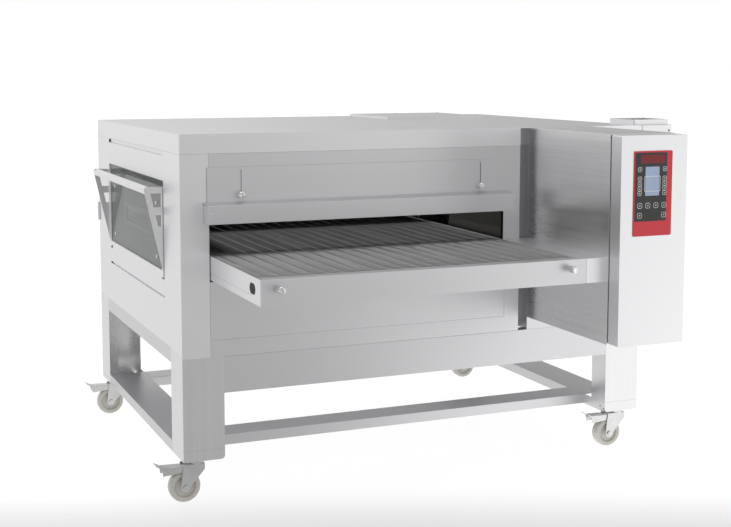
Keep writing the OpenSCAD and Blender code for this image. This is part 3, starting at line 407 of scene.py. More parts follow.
def closed(form: bmesh.types.BMesh) -> bool:
    """Tells whether every edge joins two faces."""
    return all(len(edge.link_faces) == 2 for edge in form.edges)


def breadth(face: bmesh.types.BMFace) -> float:
    """Returns about how wide a long face is."""
    return 2 * face.calc_area() / max(face.calc_perimeter(), 1e-9)


def extent(form: bmesh.types.BMesh) -> tuple[Vector, Vector]:
    """Returns the low and the high corner of a mesh's box."""
    return (Vector(min(vert.co[i] for vert in form.verts) for i in range(3)),
            Vector(max(vert.co[i] for vert in form.verts) for i in range(3)))


def soften(form: bmesh.types.BMesh, fold: float, rim: float) -> bmesh.types.BMesh:
    """Rounds a sheet's folds and takes the sharpness off its rims.

    Args:
        form: the mesh, which stays as it is.
        fold: radius of an edge between two wide faces, in metres.
        rim: radius of every other sharp edge, in metres.

    Returns:
        The rounded mesh, or a plain copy where rounding would spoil it.
    """
    made, volume = form.copy(), form.calc_volume()
    folds = [edge for edge in made.edges if len(edge.link_faces) == 2 and edge.is_convex
             and edge.calc_face_angle(0.0) > FOLD_ANGLE
             and min(breadth(face) for face in edge.link_faces) > SHEET_EDGE]
    if fold > 0 and folds:
        bmesh.ops.bevel(made, geom=folds, offset=fold, offset_type="OFFSET", segments=3, profile=0.5,
                        affect="EDGES", clamp_overlap=True)
    sharp = [edge for edge in made.edges if len(edge.link_faces) == 2
             and edge.calc_face_angle(0.0) > RIM_ANGLE]
    if rim > 0 and sharp:
        bmesh.ops.bevel(made, geom=sharp, offset=rim, offset_type="OFFSET", segments=1, profile=0.5,
                        affect="EDGES", clamp_overlap=True)
    bmesh.ops.remove_doubles(made, verts=made.verts, dist=WELD_GAP)
    bmesh.ops.dissolve_degenerate(made, dist=WELD_GAP, edges=made.edges)
    change = abs(made.calc_volume() / volume - 1) if volume else 1.0
    if closed(form) and (not closed(made) or change > VOLUME_SLACK):
        LOG.warning("edges left sharp, volume change %.3f, closed %s", change, closed(made))
        made.free()
        return form.copy()
    return made


def lathe(profile: Sequence[tuple[float, float]], steps: int,
          ripple: Callable[[float], float] | None = None) -> bmesh.types.BMesh:
    """Turns a profile round the Y axis.

    Args:
        profile: (radius, place along Y) pairs, in metres, from one end to the other.
        steps: number of faces round.
        ripple: gives a share of the radius at an angle, for grips. Rings of radius 0 are single points.

    Returns:
        The turned mesh, with its faces outwards.
    """
    form = bmesh.new()
    rings = []
    for radius, along in profile:
        if radius < WELD_GAP:
            rings.append([form.verts.new((0, along, 0))])
            continue
        ring = []
        for step in range(steps):
            angle = 2 * math.pi * step / steps
            reach = radius * (ripple(angle) if ripple else 1.0)
            ring.append(form.verts.new((reach * math.cos(angle), along, reach * math.sin(angle))))
        rings.append(ring)
    for first, second in zip(rings, rings[1:]):
        for step in range(steps):
            ahead = (step + 1) % steps
            corners = [first[step % len(first)], first[ahead % len(first)],
                       second[ahead % len(second)], second[step % len(second)]]
            unique = list(dict.fromkeys(corners))
            if len(unique) > 2:
                form.faces.new(unique)
    bmesh.ops.recalc_face_normals(form, faces=form.faces)
    return form


def rounded_plate(width: float, height: float, radius: float, thick: float, steps: int = 5,
                  hole: tuple[float, float, float] | None = None) -> bmesh.types.BMesh:
    """Makes a flat plate with round corners in the X-Z plane, its back at y 0 and its front at -thick.

    Args:
        width: size along X.
        height: size along Z.
        radius: corner radius.
        thick: thickness along Y.
        steps: faces in each corner.
        hole: width, height and corner radius of a middle hole, or None.

    Returns:
        The plate, closed, with its faces outwards.
    """
    def outline(wide: float, high: float, corner: float) -> list[tuple[float, float]]:
        """Returns the points round a rectangle with round corners."""
        points = []
        for quarter, (side, top) in enumerate(((1, 1), (-1, 1), (-1, -1), (1, -1))):
            for step in range(steps + 1):
                angle = math.pi / 2 * (quarter + step / steps)
                points.append((side * (wide / 2 - corner) + corner * math.cos(angle),
                               top * (high / 2 - corner) + corner * math.sin(angle)))
        return points

    form = bmesh.new()
    edge = min(thick * 0.4, radius * 0.5, 0.0004)
    levels = [(0.0, 0.0), (-(thick - edge), 0.0), (-thick, edge)]
    outer = [[form.verts.new((x, y, z)) for x, z in
              outline(width - 2 * inset, height - 2 * inset, max(radius - inset, 1e-5))]
             for y, inset in levels]
    walls = [outer]
    if hole:
        walls.append([[form.verts.new((x, y, z)) for x, z in
                       outline(hole[0] + 2 * inset, hole[1] + 2 * inset, hole[2] + inset)]
                      for y, inset in levels])
    count = len(outer[0])
    for wall in walls:
        for low, high in zip(wall, wall[1:]):
            for i in range(count):
                form.faces.new((low[i], low[(i + 1) % count], high[(i + 1) % count], high[i]))
    if hole:
        for level in (0, -1):
            for i in range(count):
                form.faces.new((walls[0][level][i], walls[0][level][(i + 1) % count],
                                walls[1][level][(i + 1) % count], walls[1][level][i]))
    else:
        form.faces.new(outer[0])
        form.faces.new(outer[-1])
    bmesh.ops.recalc_face_normals(form, faces=form.faces)
    return form


def moved(form: bmesh.types.BMesh, matrix: Matrix) -> bmesh.types.BMesh:
    """Moves a mesh and keeps its faces outwards."""
    bmesh.ops.transform(form, matrix=matrix, verts=form.verts)
    if matrix.determinant() < 0:
        bmesh.ops.reverse_faces(form, faces=form.faces)
    return form


def joined(forms: Iterable[bmesh.types.BMesh]) -> bmesh.types.BMesh:
    """Puts several meshes into one and frees them."""
    whole = bmesh.new()
    for form in forms:
        mesh = bpy.data.meshes.new("part")
        form.to_mesh(mesh)
        form.free()
        whole.from_mesh(mesh)
        bpy.data.meshes.remove(mesh)
    return whole


def islands(form: bmesh.types.BMesh) -> list[bmesh.types.BMesh]:
    """Splits a mesh into its separate closed bodies, the largest first."""
    left, groups = set(form.verts), []
    while left:
        group, queue = set(), [left.pop()]
        while queue:
            vert = queue.pop()
            group.add(vert)
            for edge in vert.link_edges:
                other = edge.other_vert(vert)
                if other in left:
                    left.remove(other)
                    queue.append(other)
        groups.append({vert.index for vert in group})
    made = []
    for group in groups:
        part = form.copy()
        part.verts.ensure_lookup_table()
        others = [vert for vert in part.verts if vert.index not in group]
        bmesh.ops.delete(part, geom=others, context="VERTS")
        made.append(part)
    made.sort(key=lambda part: -abs(part.calc_volume()))
    return made


def place(form: bmesh.types.BMesh, name: str, body: str, slot: str, finish: Finish,
          replaced: Sequence[str] = (), smooth_below: float = 38.0) -> bpy.types.Object:
    """Turns a mesh into a finished piece that rides on a body.

    Args:
        form: the mesh, which is freed.
        name: the piece's name.
        body: the CAD body it rides on.
        slot: not used.
        finish: the finish it wears.
        replaced: the CAD nodes it stands for.
        smooth_below: edges under this many degrees are shaded smooth.

    Returns:
        The piece.
    """
    mesh = bpy.data.meshes.new(name)
    form.to_mesh(mesh)
    form.free()
    mesh.polygons.foreach_set("use_smooth", [True] * len(mesh.polygons))
    mesh.set_sharp_from_angle(angle=math.radians(smooth_below))
    mesh.materials.append(finish.material())
    piece = bpy.data.objects.new(name, mesh)
    bpy.context.scene.collection.objects.link(piece)
    normals = piece.modifiers.new("even", "WEIGHTED_NORMAL")
    normals.keep_sharp = True
    depsgraph = bpy.context.evaluated_depsgraph_get()
    even = bpy.data.meshes.new_from_object(piece.evaluated_get(depsgraph), preserve_all_data_layers=True,
                                           depsgraph=depsgraph)
    piece.modifiers.remove(normals)
    piece.data = even
    bpy.data.meshes.remove(mesh)
    even.name = name
    return ride(piece, body, replaced)


def ride(piece: bpy.types.Object, body: str, replaced: Sequence[str] = ()) -> bpy.types.Object:
    """Declares what a finished piece rides on and hides the nodes it stands for."""
    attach(piece, body)
    if replaced:
        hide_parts(*replaced)
    LOG.info("%s on %s: %d faces", piece.name, body, len(piece.data.polygons))
    return piece


# ---------------------------------------------------------------- repeats


class NodeForm(Tree):
    """A Geometry Nodes tree with named inputs, run on a base mesh and turned into a plain mesh."""

    def __init__(self, name: str) -> None:
        """Starts a tree with a geometry input and output."""
        group = bpy.data.node_groups.new(name, "GeometryNodeTree")
        super().__init__(group)
        group.interface.new_socket("Geometry", in_out="INPUT", socket_type="NodeSocketGeometry")
        group.interface.new_socket("Geometry", in_out="OUTPUT", socket_type="NodeSocketGeometry")
        self.keys: dict[str, str] = {}
        self.start = self.node("NodeGroupInput")

    def named(self, name: str, kind: str, default: object = None) -> bpy.types.NodeSocket:
        """Adds a named input.

        Args:
            name: the input's name.
            kind: Float, Int, Vector, Object or Material.
            default: its value if none is given.

        Returns:
            The input's socket inside the tree.
        """
        made = self.tree.interface.new_socket(name, in_out="INPUT", socket_type="NodeSocket" + kind)
        if default is not None:
            made.default_value = default
        self.keys[name] = made.identifier
        return self.start.outputs[name]

    def end(self, geometry: bpy.types.NodeSocket) -> None:
        """Realizes the instances, sets the material and joins the output."""
        cover = self.named("Finish", "Material")
        real = self.node("GeometryNodeRealizeInstances", {0: geometry})
        dressed = self.node("GeometryNodeSetMaterial", {0: real.outputs[0], "Material": cover})
        self.node("NodeGroupOutput", {0: dressed.outputs[0]})

    def run(self, base: bmesh.types.BMesh, name: str, values: dict[str, object]) -> bpy.types.Object:
        """Runs the tree.

        Args:
            base: the mesh it starts from, which is freed.
            name: the piece's name.
            values: input name to value.

        Returns:
            An object with a plain mesh and no modifier.
        """
        mesh = bpy.data.meshes.new(name + "_base")
        base.to_mesh(mesh)
        base.free()
        piece = bpy.data.objects.new(name, mesh)
        bpy.context.scene.collection.objects.link(piece)
        nodes = piece.modifiers.new("form", "NODES")
        nodes.node_group = self.tree
        for key, value in values.items():
            nodes[self.keys[key]] = value
        depsgraph = bpy.context.evaluated_depsgraph_get()
        made = bpy.data.meshes.new_from_object(piece.evaluated_get(depsgraph), preserve_all_data_layers=True,
                                               depsgraph=depsgraph)
        piece.modifiers.remove(nodes)
        piece.data = made
        bpy.data.meshes.remove(mesh)
        made.name = name
        return piece


class Scatter(NodeForm):
    """Puts a copy of a pattern at each point of the base mesh, turned to the point's own direction."""

    def __init__(self) -> None:
        """Builds the tree."""
        super().__init__("scatter")
        pattern = self.named("Pattern", "Object")
        seed = self.named("Seed", "Int", 7)
        spin = self.named("Spin", "Float", 0.0)
        shape = self.node("GeometryNodeObjectInfo", {"Object": pattern})
        look = self.node("GeometryNodeInputNamedAttribute", {"Name": "look"}, data_type="FLOAT_VECTOR")
        turn = self.node("FunctionNodeAlignRotationToVector", {"Vector": look.outputs[0]}, axis="Y")
        chance = self.node("FunctionNodeRandomValue", {"Seed": seed}, data_type="FLOAT")
        around = self.node("ShaderNodeCombineXYZ", {1: self.sum("MULTIPLY", chance.outputs[1], spin)})
        local = self.node("FunctionNodeEulerToRotation", {0: around.outputs[0]})
        whole = self.node("FunctionNodeRotateRotation", {0: turn.outputs[0], 1: local.outputs[0]},
                          rotation_space="LOCAL")
        points = self.node("GeometryNodeMeshToPoints", {0: self.start.outputs[0]})
        copies = self.node("GeometryNodeInstanceOnPoints", {"Points": points.outputs[0],
                                                            "Instance": shape.outputs["Geometry"],
                                                            "Rotation": whole.outputs[0]})
        self.end(copies.outputs[0])

    def make(self, name: str, pattern: bmesh.types.BMesh, points: Sequence[tuple[Point, Point]],
             finish: Finish, spin: float = 0.0, smooth_below: float = 38.0) -> bpy.types.Object:
        """Scatters a pattern whose front looks along -Y.

        Args:
            name: the piece's name.
            pattern: the mesh to repeat, which is freed.
            points: places, each with the direction its copy looks.
            finish: the finish of all copies.
            spin: largest random turn about the direction, in radians.
            smooth_below: edges under this many degrees are shaded smooth.

        Returns:
            The object, not yet riding on a body.
        """
        mesh = bpy.data.meshes.new(name + "_pattern")
        pattern.to_mesh(mesh)
        pattern.free()
        mesh.polygons.foreach_set("use_smooth", [True] * len(mesh.polygons))
        mesh.set_sharp_from_angle(angle=math.radians(smooth_below))
        holder = bpy.data.objects.new(name + "_pattern", mesh)
        bpy.context.scene.collection.objects.link(holder)
        base = bmesh.new()
        look = base.verts.layers.float_vector.new("look")
        for spot, direction in points:
            base.verts.new(spot)[look] = -Vector(direction)
        made = self.run(base, name, {"Pattern": holder, "Seed": 7, "Spin": spin,
                                     "Finish": finish.material()})
        bpy.data.objects.remove(holder)
        bpy.data.meshes.remove(mesh)
        return made


class Loop(NodeForm):
    """Carries copies of a piece round a loop with two round ends in the Y-Z plane."""

    def __init__(self, wire: bool) -> None:
        """Builds the tree.

        Args:
            wire: the base mesh is a line that becomes a wire. Otherwise it is carried as it is.
        """
        super().__init__("belt_loop" if wire else "chain_loop")
        length, radius = self.named("Length", "Float", 2.0), self.named("Radius", "Float", 0.03)
        count, thick = self.named("Count", "Int", 300), self.named("Thickness", "Float", 0.001)
        tilt, centre = self.named("Tilt", "Float", 0.0), self.named("Centre", "Vector")
        carried = self.start.outputs[0]
        if wire:
            line = self.node("GeometryNodeMeshToCurve", {0: carried})
            ring = self.node("GeometryNodeCurvePrimitiveCircle", {"Resolution": 3, "Radius": thick})
            tube = self.node("GeometryNodeCurveToMesh", {0: line.outputs[0], 1: ring.outputs[0]})
            carried = self.node("GeometryNodeSetShadeSmooth", {0: tube.outputs[0]}).outputs[0]
        wide = self.sum("ADD", length, self.sum("MULTIPLY", radius, 2.0))
        high = self.sum("MULTIPLY", radius, 2.0)
        frame_line = self.node("GeometryNodeCurvePrimitiveQuadrilateral", {0: wide, 1: high})
        round_ends = self.node("GeometryNodeFilletCurve", {"Curve": frame_line.outputs[0], "Count": 24,
                                                           "Radius": self.sum("MULTIPLY", radius, 0.9999)},
                               mode="POLY")
        spots = self.node("GeometryNodeCurveToPoints", {"Curve": round_ends.outputs[0], "Count": count},
                          mode="COUNT")
        parts = self.node("ShaderNodeSeparateXYZ", {0: spots.outputs["Tangent"]})
        angle = self.sum("ARCTAN2", parts.outputs[1], parts.outputs[0])
        turn = self.node("ShaderNodeCombineXYZ", {0: angle})
        upright = self.node("GeometryNodeTransform", {0: spots.outputs[0],
                                                      "Rotation": (math.pi / 2, 0.0, math.pi / 2)})
        keep = self.node("GeometryNodeStoreNamedAttribute", {0: spots.outputs[0], "Name": "turn",
                                                             "Value": turn.outputs[0]},
                         data_type="FLOAT_VECTOR")
        self.tree.links.new(keep.outputs[0], upright.inputs[0])
        read = self.node("GeometryNodeInputNamedAttribute", {"Name": "turn"}, data_type="FLOAT_VECTOR")
        copies = self.node("GeometryNodeInstanceOnPoints", {"Points": upright.outputs[0],
                                                            "Instance": carried,
                                                            "Rotation": read.outputs[0]})
        lean = self.node("ShaderNodeCombineXYZ", {0: tilt})
        whole = self.node("GeometryNodeTransform", {0: copies.outputs[0], "Translation": centre,
                                                    "Rotation": lean.outputs[0]})
        self.end(whole.outputs[0])


# ---------------------------------------------------------------- sub-assemblies


@dataclass
class SheetWork:
    """Body, stand and conveyor sheets: copies of the CAD sheets with rounded folds and rims."""

    fold: float = 1.3 * MILLI
    rim: float = 0.25 * MILLI
    nodes: tuple[str, ...] = (
        "base_pan", "corner_posts", "left_service_panel", "front_panel", "rear_panel", "right_casing",
        "top_cover", "top_access_plate", "flue_box", "flue_collar", "door_handle_frame", "front_shutter",
        "rear_shutter", "conveyor_frame", "front_crumb_tray", "rear_crumb_tray", "control_box",
        "control_box_cover", "leg_front_left", "leg_front_right", "leg_rear_left", "leg_rear_right",
        "upper_side_rails", "aprons", "lower_side_rails", "lower_cross_rails", "air_fingers",
        "baking_chamber", "door_hinges", "bearing_blocks", "fan_motor", "gear_motor", "burner_tube")
    # The control box's walls take the steel's painted lighter copy.
    special: dict[str, Finish] = field(default_factory=lambda: {
        "leg_front_left": UPRIGHT, "leg_front_right": UPRIGHT, "leg_rear_left": UPRIGHT,
        "leg_rear_right": UPRIGHT, "control_box": BOX_WALL_PAINTED_LIGHTER})

    def build(self) -> None:
        """Makes every sheet's copy and dresses it."""
        for node in self.nodes:
            form = merged_copy(node)
            soft = soften(form, self.fold, self.rim)
            form.free()
            finish = self.special.get(node, SLOT_FINISHES[SLOTS[node]])
            place(soft, node + "_sheet", body_of(node), SLOTS[node], finish, [node])


@dataclass
class WireBelt:
    """The endless belt of bent wire strands."""

    wire: float = 1.2 * MILLI
    cell: float = 47.6 * MILLI
    pitch: float = 13.6 * MILLI
    bend: tuple[float, ...] = (0.445, 0.47, 0.53, 0.555)
    lift: float = 0.35 * MILLI

    def strand(self, width: float, step: float) -> bmesh.types.BMesh:
        """Makes one strand as a line along X with a hook to the next strand in each cell."""
        form = bmesh.new()
        cells = round(width / self.cell)
        cell = width / cells
        points = [(0.0, step * 0.9, 0.0), (0.0, 0.0, 0.0)]
        for index in range(cells):
            for share, ahead in zip(self.bend, (0.0, 1.0, 1.0, 0.0)):
                points.append((cell * (index + share), step * 1.04 * ahead,
                               self.lift * (1 if ahead else -1)))
        points += [(width, 0.0, 0.0), (width, step * 0.9, 0.0)]
        verts = [form.verts.new(point) for point in points]
        for first, second in zip(verts, verts[1:]):
            form.edges.new((first, second))
        return form

    def build(self) -> None:
        """Carries the strands round the two end shafts."""
        low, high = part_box("mesh_belt")
        radius = (high.z - low.z) / 2
        length = high.y - low.y - 2 * radius
        middle = radius - self.wire - self.lift
        around = 2 * length + 2 * math.pi * middle
        count = round(around / self.pitch)
        edge = self.wire
        strand = self.strand(high.x - low.x - 2 * edge, around / count)
        loop = Loop(wire=True)
        piece = loop.run(strand, "belt_wires", {
            "Length": length, "Radius": middle, "Count": count, "Thickness": self.wire, "Tilt": 0.0,
            "Centre": ((low.x + edge), (low.y + high.y) / 2, (low.z + high.z) / 2),
            "Finish": SLOT_FINISHES["belt_wire"].material()})
        ride(piece, body_of("mesh_belt"), ["mesh_belt"])


@dataclass
class DoorGlass:
    """The inspection door's pane, the dark enamel behind it and its four screws."""

    window: tuple[float, float] = (0.376, 0.076)
    window_at: tuple[float, float] = (0.502, 0.475)
    enamel: float = 0.3 * MILLI
    gap: float = 0.05 * MILLI
    rim: float = 22 * MILLI
    rim_back: float = 2.2 * MILLI

    def build(self) -> None:
        """Makes the three pieces from the CAD pane and screws."""
        parts = islands(merged_copy("door_glass"))
        body, slot = body_of("door_glass"), SLOTS["door_glass"]
        pane, screws = parts[0], parts[1:]
        low, high = extent(pane)
        place(soften(pane, 0.8 * MILLI, 0.8 * MILLI), "door_pane", body, slot, SLOT_FINISHES["door_glass"],
              ["door_glass"])
        size = high - low
        hole = (self.window[0], self.window[1], 8 * MILLI)
        sheet = self.printed_sheet(low, high, hole)
        place(sheet, "door_enamel", body, slot, ENAMEL)
        rim = rounded_plate(hole[0] + 4 * MILLI, hole[1] + 4 * MILLI, 6 * MILLI, 1.2 * MILLI,
                            hole=(hole[0] - self.rim, hole[1] - self.rim, 4 * MILLI))
        moved(rim, Matrix.Rotation(-math.pi / 2, 4, "Z"))
        at = Vector((high.x + self.rim_back, low.y + size.y * self.window_at[0],
                     low.z + size.z * self.window_at[1]))
        place(moved(rim, Matrix.Translation(at)), "door_window_rim", body, slot, WINDOW_RIM)
        heads = []
        for screw in screws:
            centre = sum((vert.co for vert in screw.verts), Vector()) / len(screw.verts)
            heads.append(((low.x - 0.2 * MILLI, centre.y, centre.z), (-1.0, 0.0, 0.0)))
            screw.free()
        piece = Scatter().make("door_screws", screw_head(5.6 * MILLI, 2.6 * MILLI), heads,
                               SLOT_FINISHES["knob_steel"], spin=math.pi)
        ride(piece, body)

    def printed_sheet(self, low: Vector, high: Vector,
                      hole: tuple[float, float, float]) -> bmesh.types.BMesh:
        """Makes the enamel layer on the pane's inner face, open at the window."""
        form = bmesh.new()
        inset = 1.5 * MILLI
        back = high.x + self.gap
        rows = [low.z + inset, low.z + (high.z - low.z) * self.window_at[1] - hole[1] / 2,
                low.z + (high.z - low.z) * self.window_at[1] + hole[1] / 2, high.z - inset]
        middle = low.y + (high.y - low.y) * self.window_at[0]
        columns = [low.y + inset, middle - hole[0] / 2, middle + hole[0] / 2, high.y - inset]
        grid = {(depth, i, j): form.verts.new((back + depth * self.enamel, columns[i], rows[j]))
                for depth in (0, 1) for i in range(4) for j in range(4)}
        cells = [(i, j) for i in range(3) for j in range(3) if (i, j) != (1, 1)]
        for depth in (0, 1):
            for i, j in cells:
                form.faces.new([grid[depth, i, j], grid[depth, i + 1, j], grid[depth, i + 1, j + 1],
                                grid[depth, i, j + 1]])
        rims = [((0, 0), (3, 0)), ((3, 0), (3, 3)), ((3, 3), (0, 3)), ((0, 3), (0, 0)),
                ((1, 1), (2, 1)), ((2, 1), (2, 2)), ((2, 2), (1, 2)), ((1, 2), (1, 1))]
        for (i0, j0), (i1, j1) in rims:
            steps = max(abs(i1 - i0), abs(j1 - j0))
            for k in range(steps):
                a = (i0 + (i1 - i0) * k // steps, j0 + (j1 - j0) * k // steps)
                b = (i0 + (i1 - i0) * (k + 1) // steps, j0 + (j1 - j0) * (k + 1) // steps)
                form.faces.new([grid[0, *a], grid[0, *b], grid[1, *b], grid[1, *a]])
        bmesh.ops.recalc_face_normals(form, faces=form.faces)
        return form


def screw_head(radius: float, height: float) -> bmesh.types.BMesh:
    """Makes a low pan head with a cross recess, its back at y 0."""
    profile = [(0, 0), (radius, 0), (radius, -0.35 * height), (0.86 * radius, -0.8 * height),
               (0.6 * radius, -height), (0.34 * radius, -height), (0.2 * radius, -0.45 * height),
               (0, -0.4 * height)]
    return lathe(profile, 16, None)


@dataclass
class Knobs:
    """Turned steel knobs of the shutters and the crumb trays."""

    steps: int = 48
    lobes: int = 16
    head: float = 22 * MILLI
    stem: float = 12 * MILLI
    stud: float = 4 * MILLI

    def turned(self, radius: float, length: float, stem: float) -> bmesh.types.BMesh:
        """Makes a knob whose foot is at y 0 and whose face looks along -Y.

        Args:
            radius: the head's radius.
            length: from the foot to the face.
            stem: length of the thinner neck at the foot.

        Returns:
            The knob.
        """
        edge = radius * 0.12
        neck = radius * 0.62
        start = [(0, 0), (neck, 0), (neck, -stem)] if stem > 0 else [(0, 0), (radius * 0.9, 0)]
        profile = start + [(radius - edge, -stem - 0.2 * MILLI), (radius, -stem - edge),
                           (radius, -length + 2.2 * edge), (radius - 0.7 * edge, -length + edge),
                           (radius - 2.4 * edge, -length), (radius * 0.5, -length),
                           (radius * 0.46, -length + 0.25 * edge), (0, -length + 0.25 * edge)]

        def grip(angle: float) -> float:
            """Returns the share of the radius that the grip leaves at an angle."""
            return 1.0 - 0.012 * (1 + math.cos(self.lobes * angle)) / 2

        return lathe(profile, self.steps, grip)

    def clamp(self, node: str, rear: bool) -> None:
        """Makes one clamping knob with its stud."""
        low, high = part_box(node)
        radius = (high.x - low.x) / 2
        centre = Vector(((low.x + high.x) / 2, 0, (low.z + high.z) / 2))
        foot = low.y + self.head if not rear else high.y - self.head
        side = -1.0 if rear else 1.0
        far = high.y - foot if not rear else foot - low.y
        stud = lathe([(0, 0.0001), (self.stud, 0.0001), (self.stud, far - 0.6 * MILLI),
                      (3.4 * MILLI, far), (0, far)], 24)
        form = joined([self.turned(radius, self.head, 0.0), stud])
        moved(form, Matrix.Translation((centre.x, foot, centre.z)) @ Matrix.Diagonal((1, side, 1, 1)))
        place(form, node + "_turned", body_of(node), SLOTS[node], SLOT_FINISHES["knob_steel"], [node])

    def pull(self, node: str, rear: bool) -> None:
        """Makes the two pull knobs of one crumb tray."""
        parts = islands(merged_copy(node))
        forms = []
        for part in parts:
            low, high = extent(part)
            part.free()
            side = -1.0 if rear else 1.0
            foot = low.y if rear else high.y
            form = self.turned((high.x - low.x) / 2, high.y - low.y, self.stem)
            forms.append(moved(form, Matrix.Translation(((low.x + high.x) / 2, foot, (low.z + high.z) / 2))
                               @ Matrix.Diagonal((1, side, 1, 1))))
        place(joined(forms), node + "_turned", body_of(node), SLOTS[node],
              SLOT_FINISHES["knob_steel"], [node])

    def build(self) -> None:
        """Makes all the knobs."""
        for end in ("front", "rear"):
            for hand in ("left", "right"):
                self.clamp(f"{end}_{hand}_knob", end == "rear")
            self.pull(f"{end}_tray_knobs", end == "rear")


@dataclass
class Keypad:
    """The control panel's film with its field, screen and keys. Its areas hold no lettering."""

    key: float = 16.5 * MILLI
    small_key: float = 14.0 * MILLI
    layer: float = 0.25 * MILLI
    side_rows: tuple[float, ...] = (0.215, 0.325, 0.385, 0.440, 0.495)
    columns: tuple[float, ...] = (0.16, 0.37, 0.58, 0.795)
    low_row: float = 0.64
    bottom_row: float = 0.755
    field_area: tuple[float, float, float, float] = (0.025, 0.855, 0.02, 0.825)
    band_area: tuple[float, float, float, float] = (0.17, 0.79, 0.045, 0.145)
    screen_area: tuple[float, float, float, float] = (0.295, 0.66, 0.185, 0.525)
    bracket_area: tuple[float, float, float, float] = (0.27, 0.685, 0.295, 0.475)
    low: Vector = field(default_factory=Vector)
    high: Vector = field(default_factory=Vector)
    size: Vector = field(default_factory=Vector)

    def spot(self, across: float, down: float, level: float) -> Vector:
        """Returns the place at a share of the film's width and height, on a layer in front of it."""
        return Vector((self.low.x + across * self.size.x, self.low.y - level * self.layer,
                       self.high.z - down * self.size.z))

    def area(self, name: str, span: tuple[float, float, float, float], radius: float, level: float,
             finish: Finish, ring: float = 0.0) -> None:
        """Lays a thin area on the film.

        Args:
            name: the piece's name.
            span: left, right, top and bottom as shares of the film.
            radius: corner radius.
            level: number of layers under it.
            finish: what it wears.
            ring: width of the outline where only an outline is wanted.
        """
        left, right, top, bottom = span
        wide, tall = (right - left) * self.size.x, (bottom - top) * self.size.z
        hole = (wide - 2 * ring, tall - 2 * ring, max(radius - ring, 1e-4)) if ring else None
        form = rounded_plate(wide, tall, radius, self.layer, hole=hole)
        at = self.spot((left + right) / 2, (top + bottom) / 2, level)
        place(moved(form, Matrix.Translation(at)), name, body_of("keypad_panel"), "keypad_film", finish)

    def build(self) -> None:
        """Makes the film and everything printed or pressed on it."""
        body, slot = body_of("keypad_panel"), SLOTS["keypad_panel"]
        self.low, self.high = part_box("keypad_panel")
        self.size = self.high - self.low
        film = merged_copy("keypad_panel")
        place(soften(film, 0.5 * MILLI, 0.3 * MILLI), "keypad_film", body, slot, SLOT_FINISHES[slot],
              ["keypad_panel"])
        film.free()
        self.area("keypad_field", self.field_area, 3 * MILLI, 0, KEY_FIELD)
        self.area("keypad_band", self.band_area, 2 * MILLI, 1, KEY_BAND)
        self.area("keypad_screen", self.screen_area, 1 * MILLI, 1, SCREEN)
        self.area("keypad_bracket", self.bracket_area, 2 * MILLI, 2, KEY_WHITE, ring=1.6 * MILLI)
        large = [(across, self.low_row) for across in self.columns]
        large += [(self.columns[0], self.bottom_row), (self.columns[-1], self.bottom_row)]
        small = [(across, down) for across in (0.15, 0.80) for down in self.side_rows]
        self.keys("keypad_keys", large, self.key)
        self.keys("keypad_side_keys", small, self.small_key)
        marks = [(self.spot(across, down, 2), (0.0, -1.0, 0.0))
                 for across, down in large + small]
        bar = rounded_plate(5.2 * MILLI, 1.5 * MILLI, 0.7 * MILLI, self.layer, 2)
        post = rounded_plate(1.5 * MILLI, 5.2 * MILLI, 0.7 * MILLI, self.layer, 2)
        plus = joined([bar, moved(post, Matrix.Translation((0, -0.02 * MILLI, 0)))])
        ride(Scatter().make("keypad_marks", plus, marks, KEY_WHITE), body)

    def keys(self, name: str, spots: Sequence[tuple[float, float]], size: float) -> None:
        """Makes one size of key as a white outline round a raised pad."""
        body, slot = body_of("keypad_panel"), SLOTS["keypad_panel"]
        points = [(tuple(self.spot(across, down, 1)), (0.0, -1.0, 0.0)) for across, down in spots]
        line = 1.25 * MILLI
        ring = rounded_plate(size, size, size * 0.3, self.layer, 3,
                             hole=(size - 2 * line, size - 2 * line, size * 0.3 - line))
        pad = rounded_plate(size - 2 * line, size - 2 * line, size * 0.3 - line, self.layer * 0.8, 3)
        ride(Scatter().make(name + "_outlines", ring, points, KEY_WHITE), body)
        ride(Scatter().make(name + "_pads", pad, points, KEY_FIELD), body)


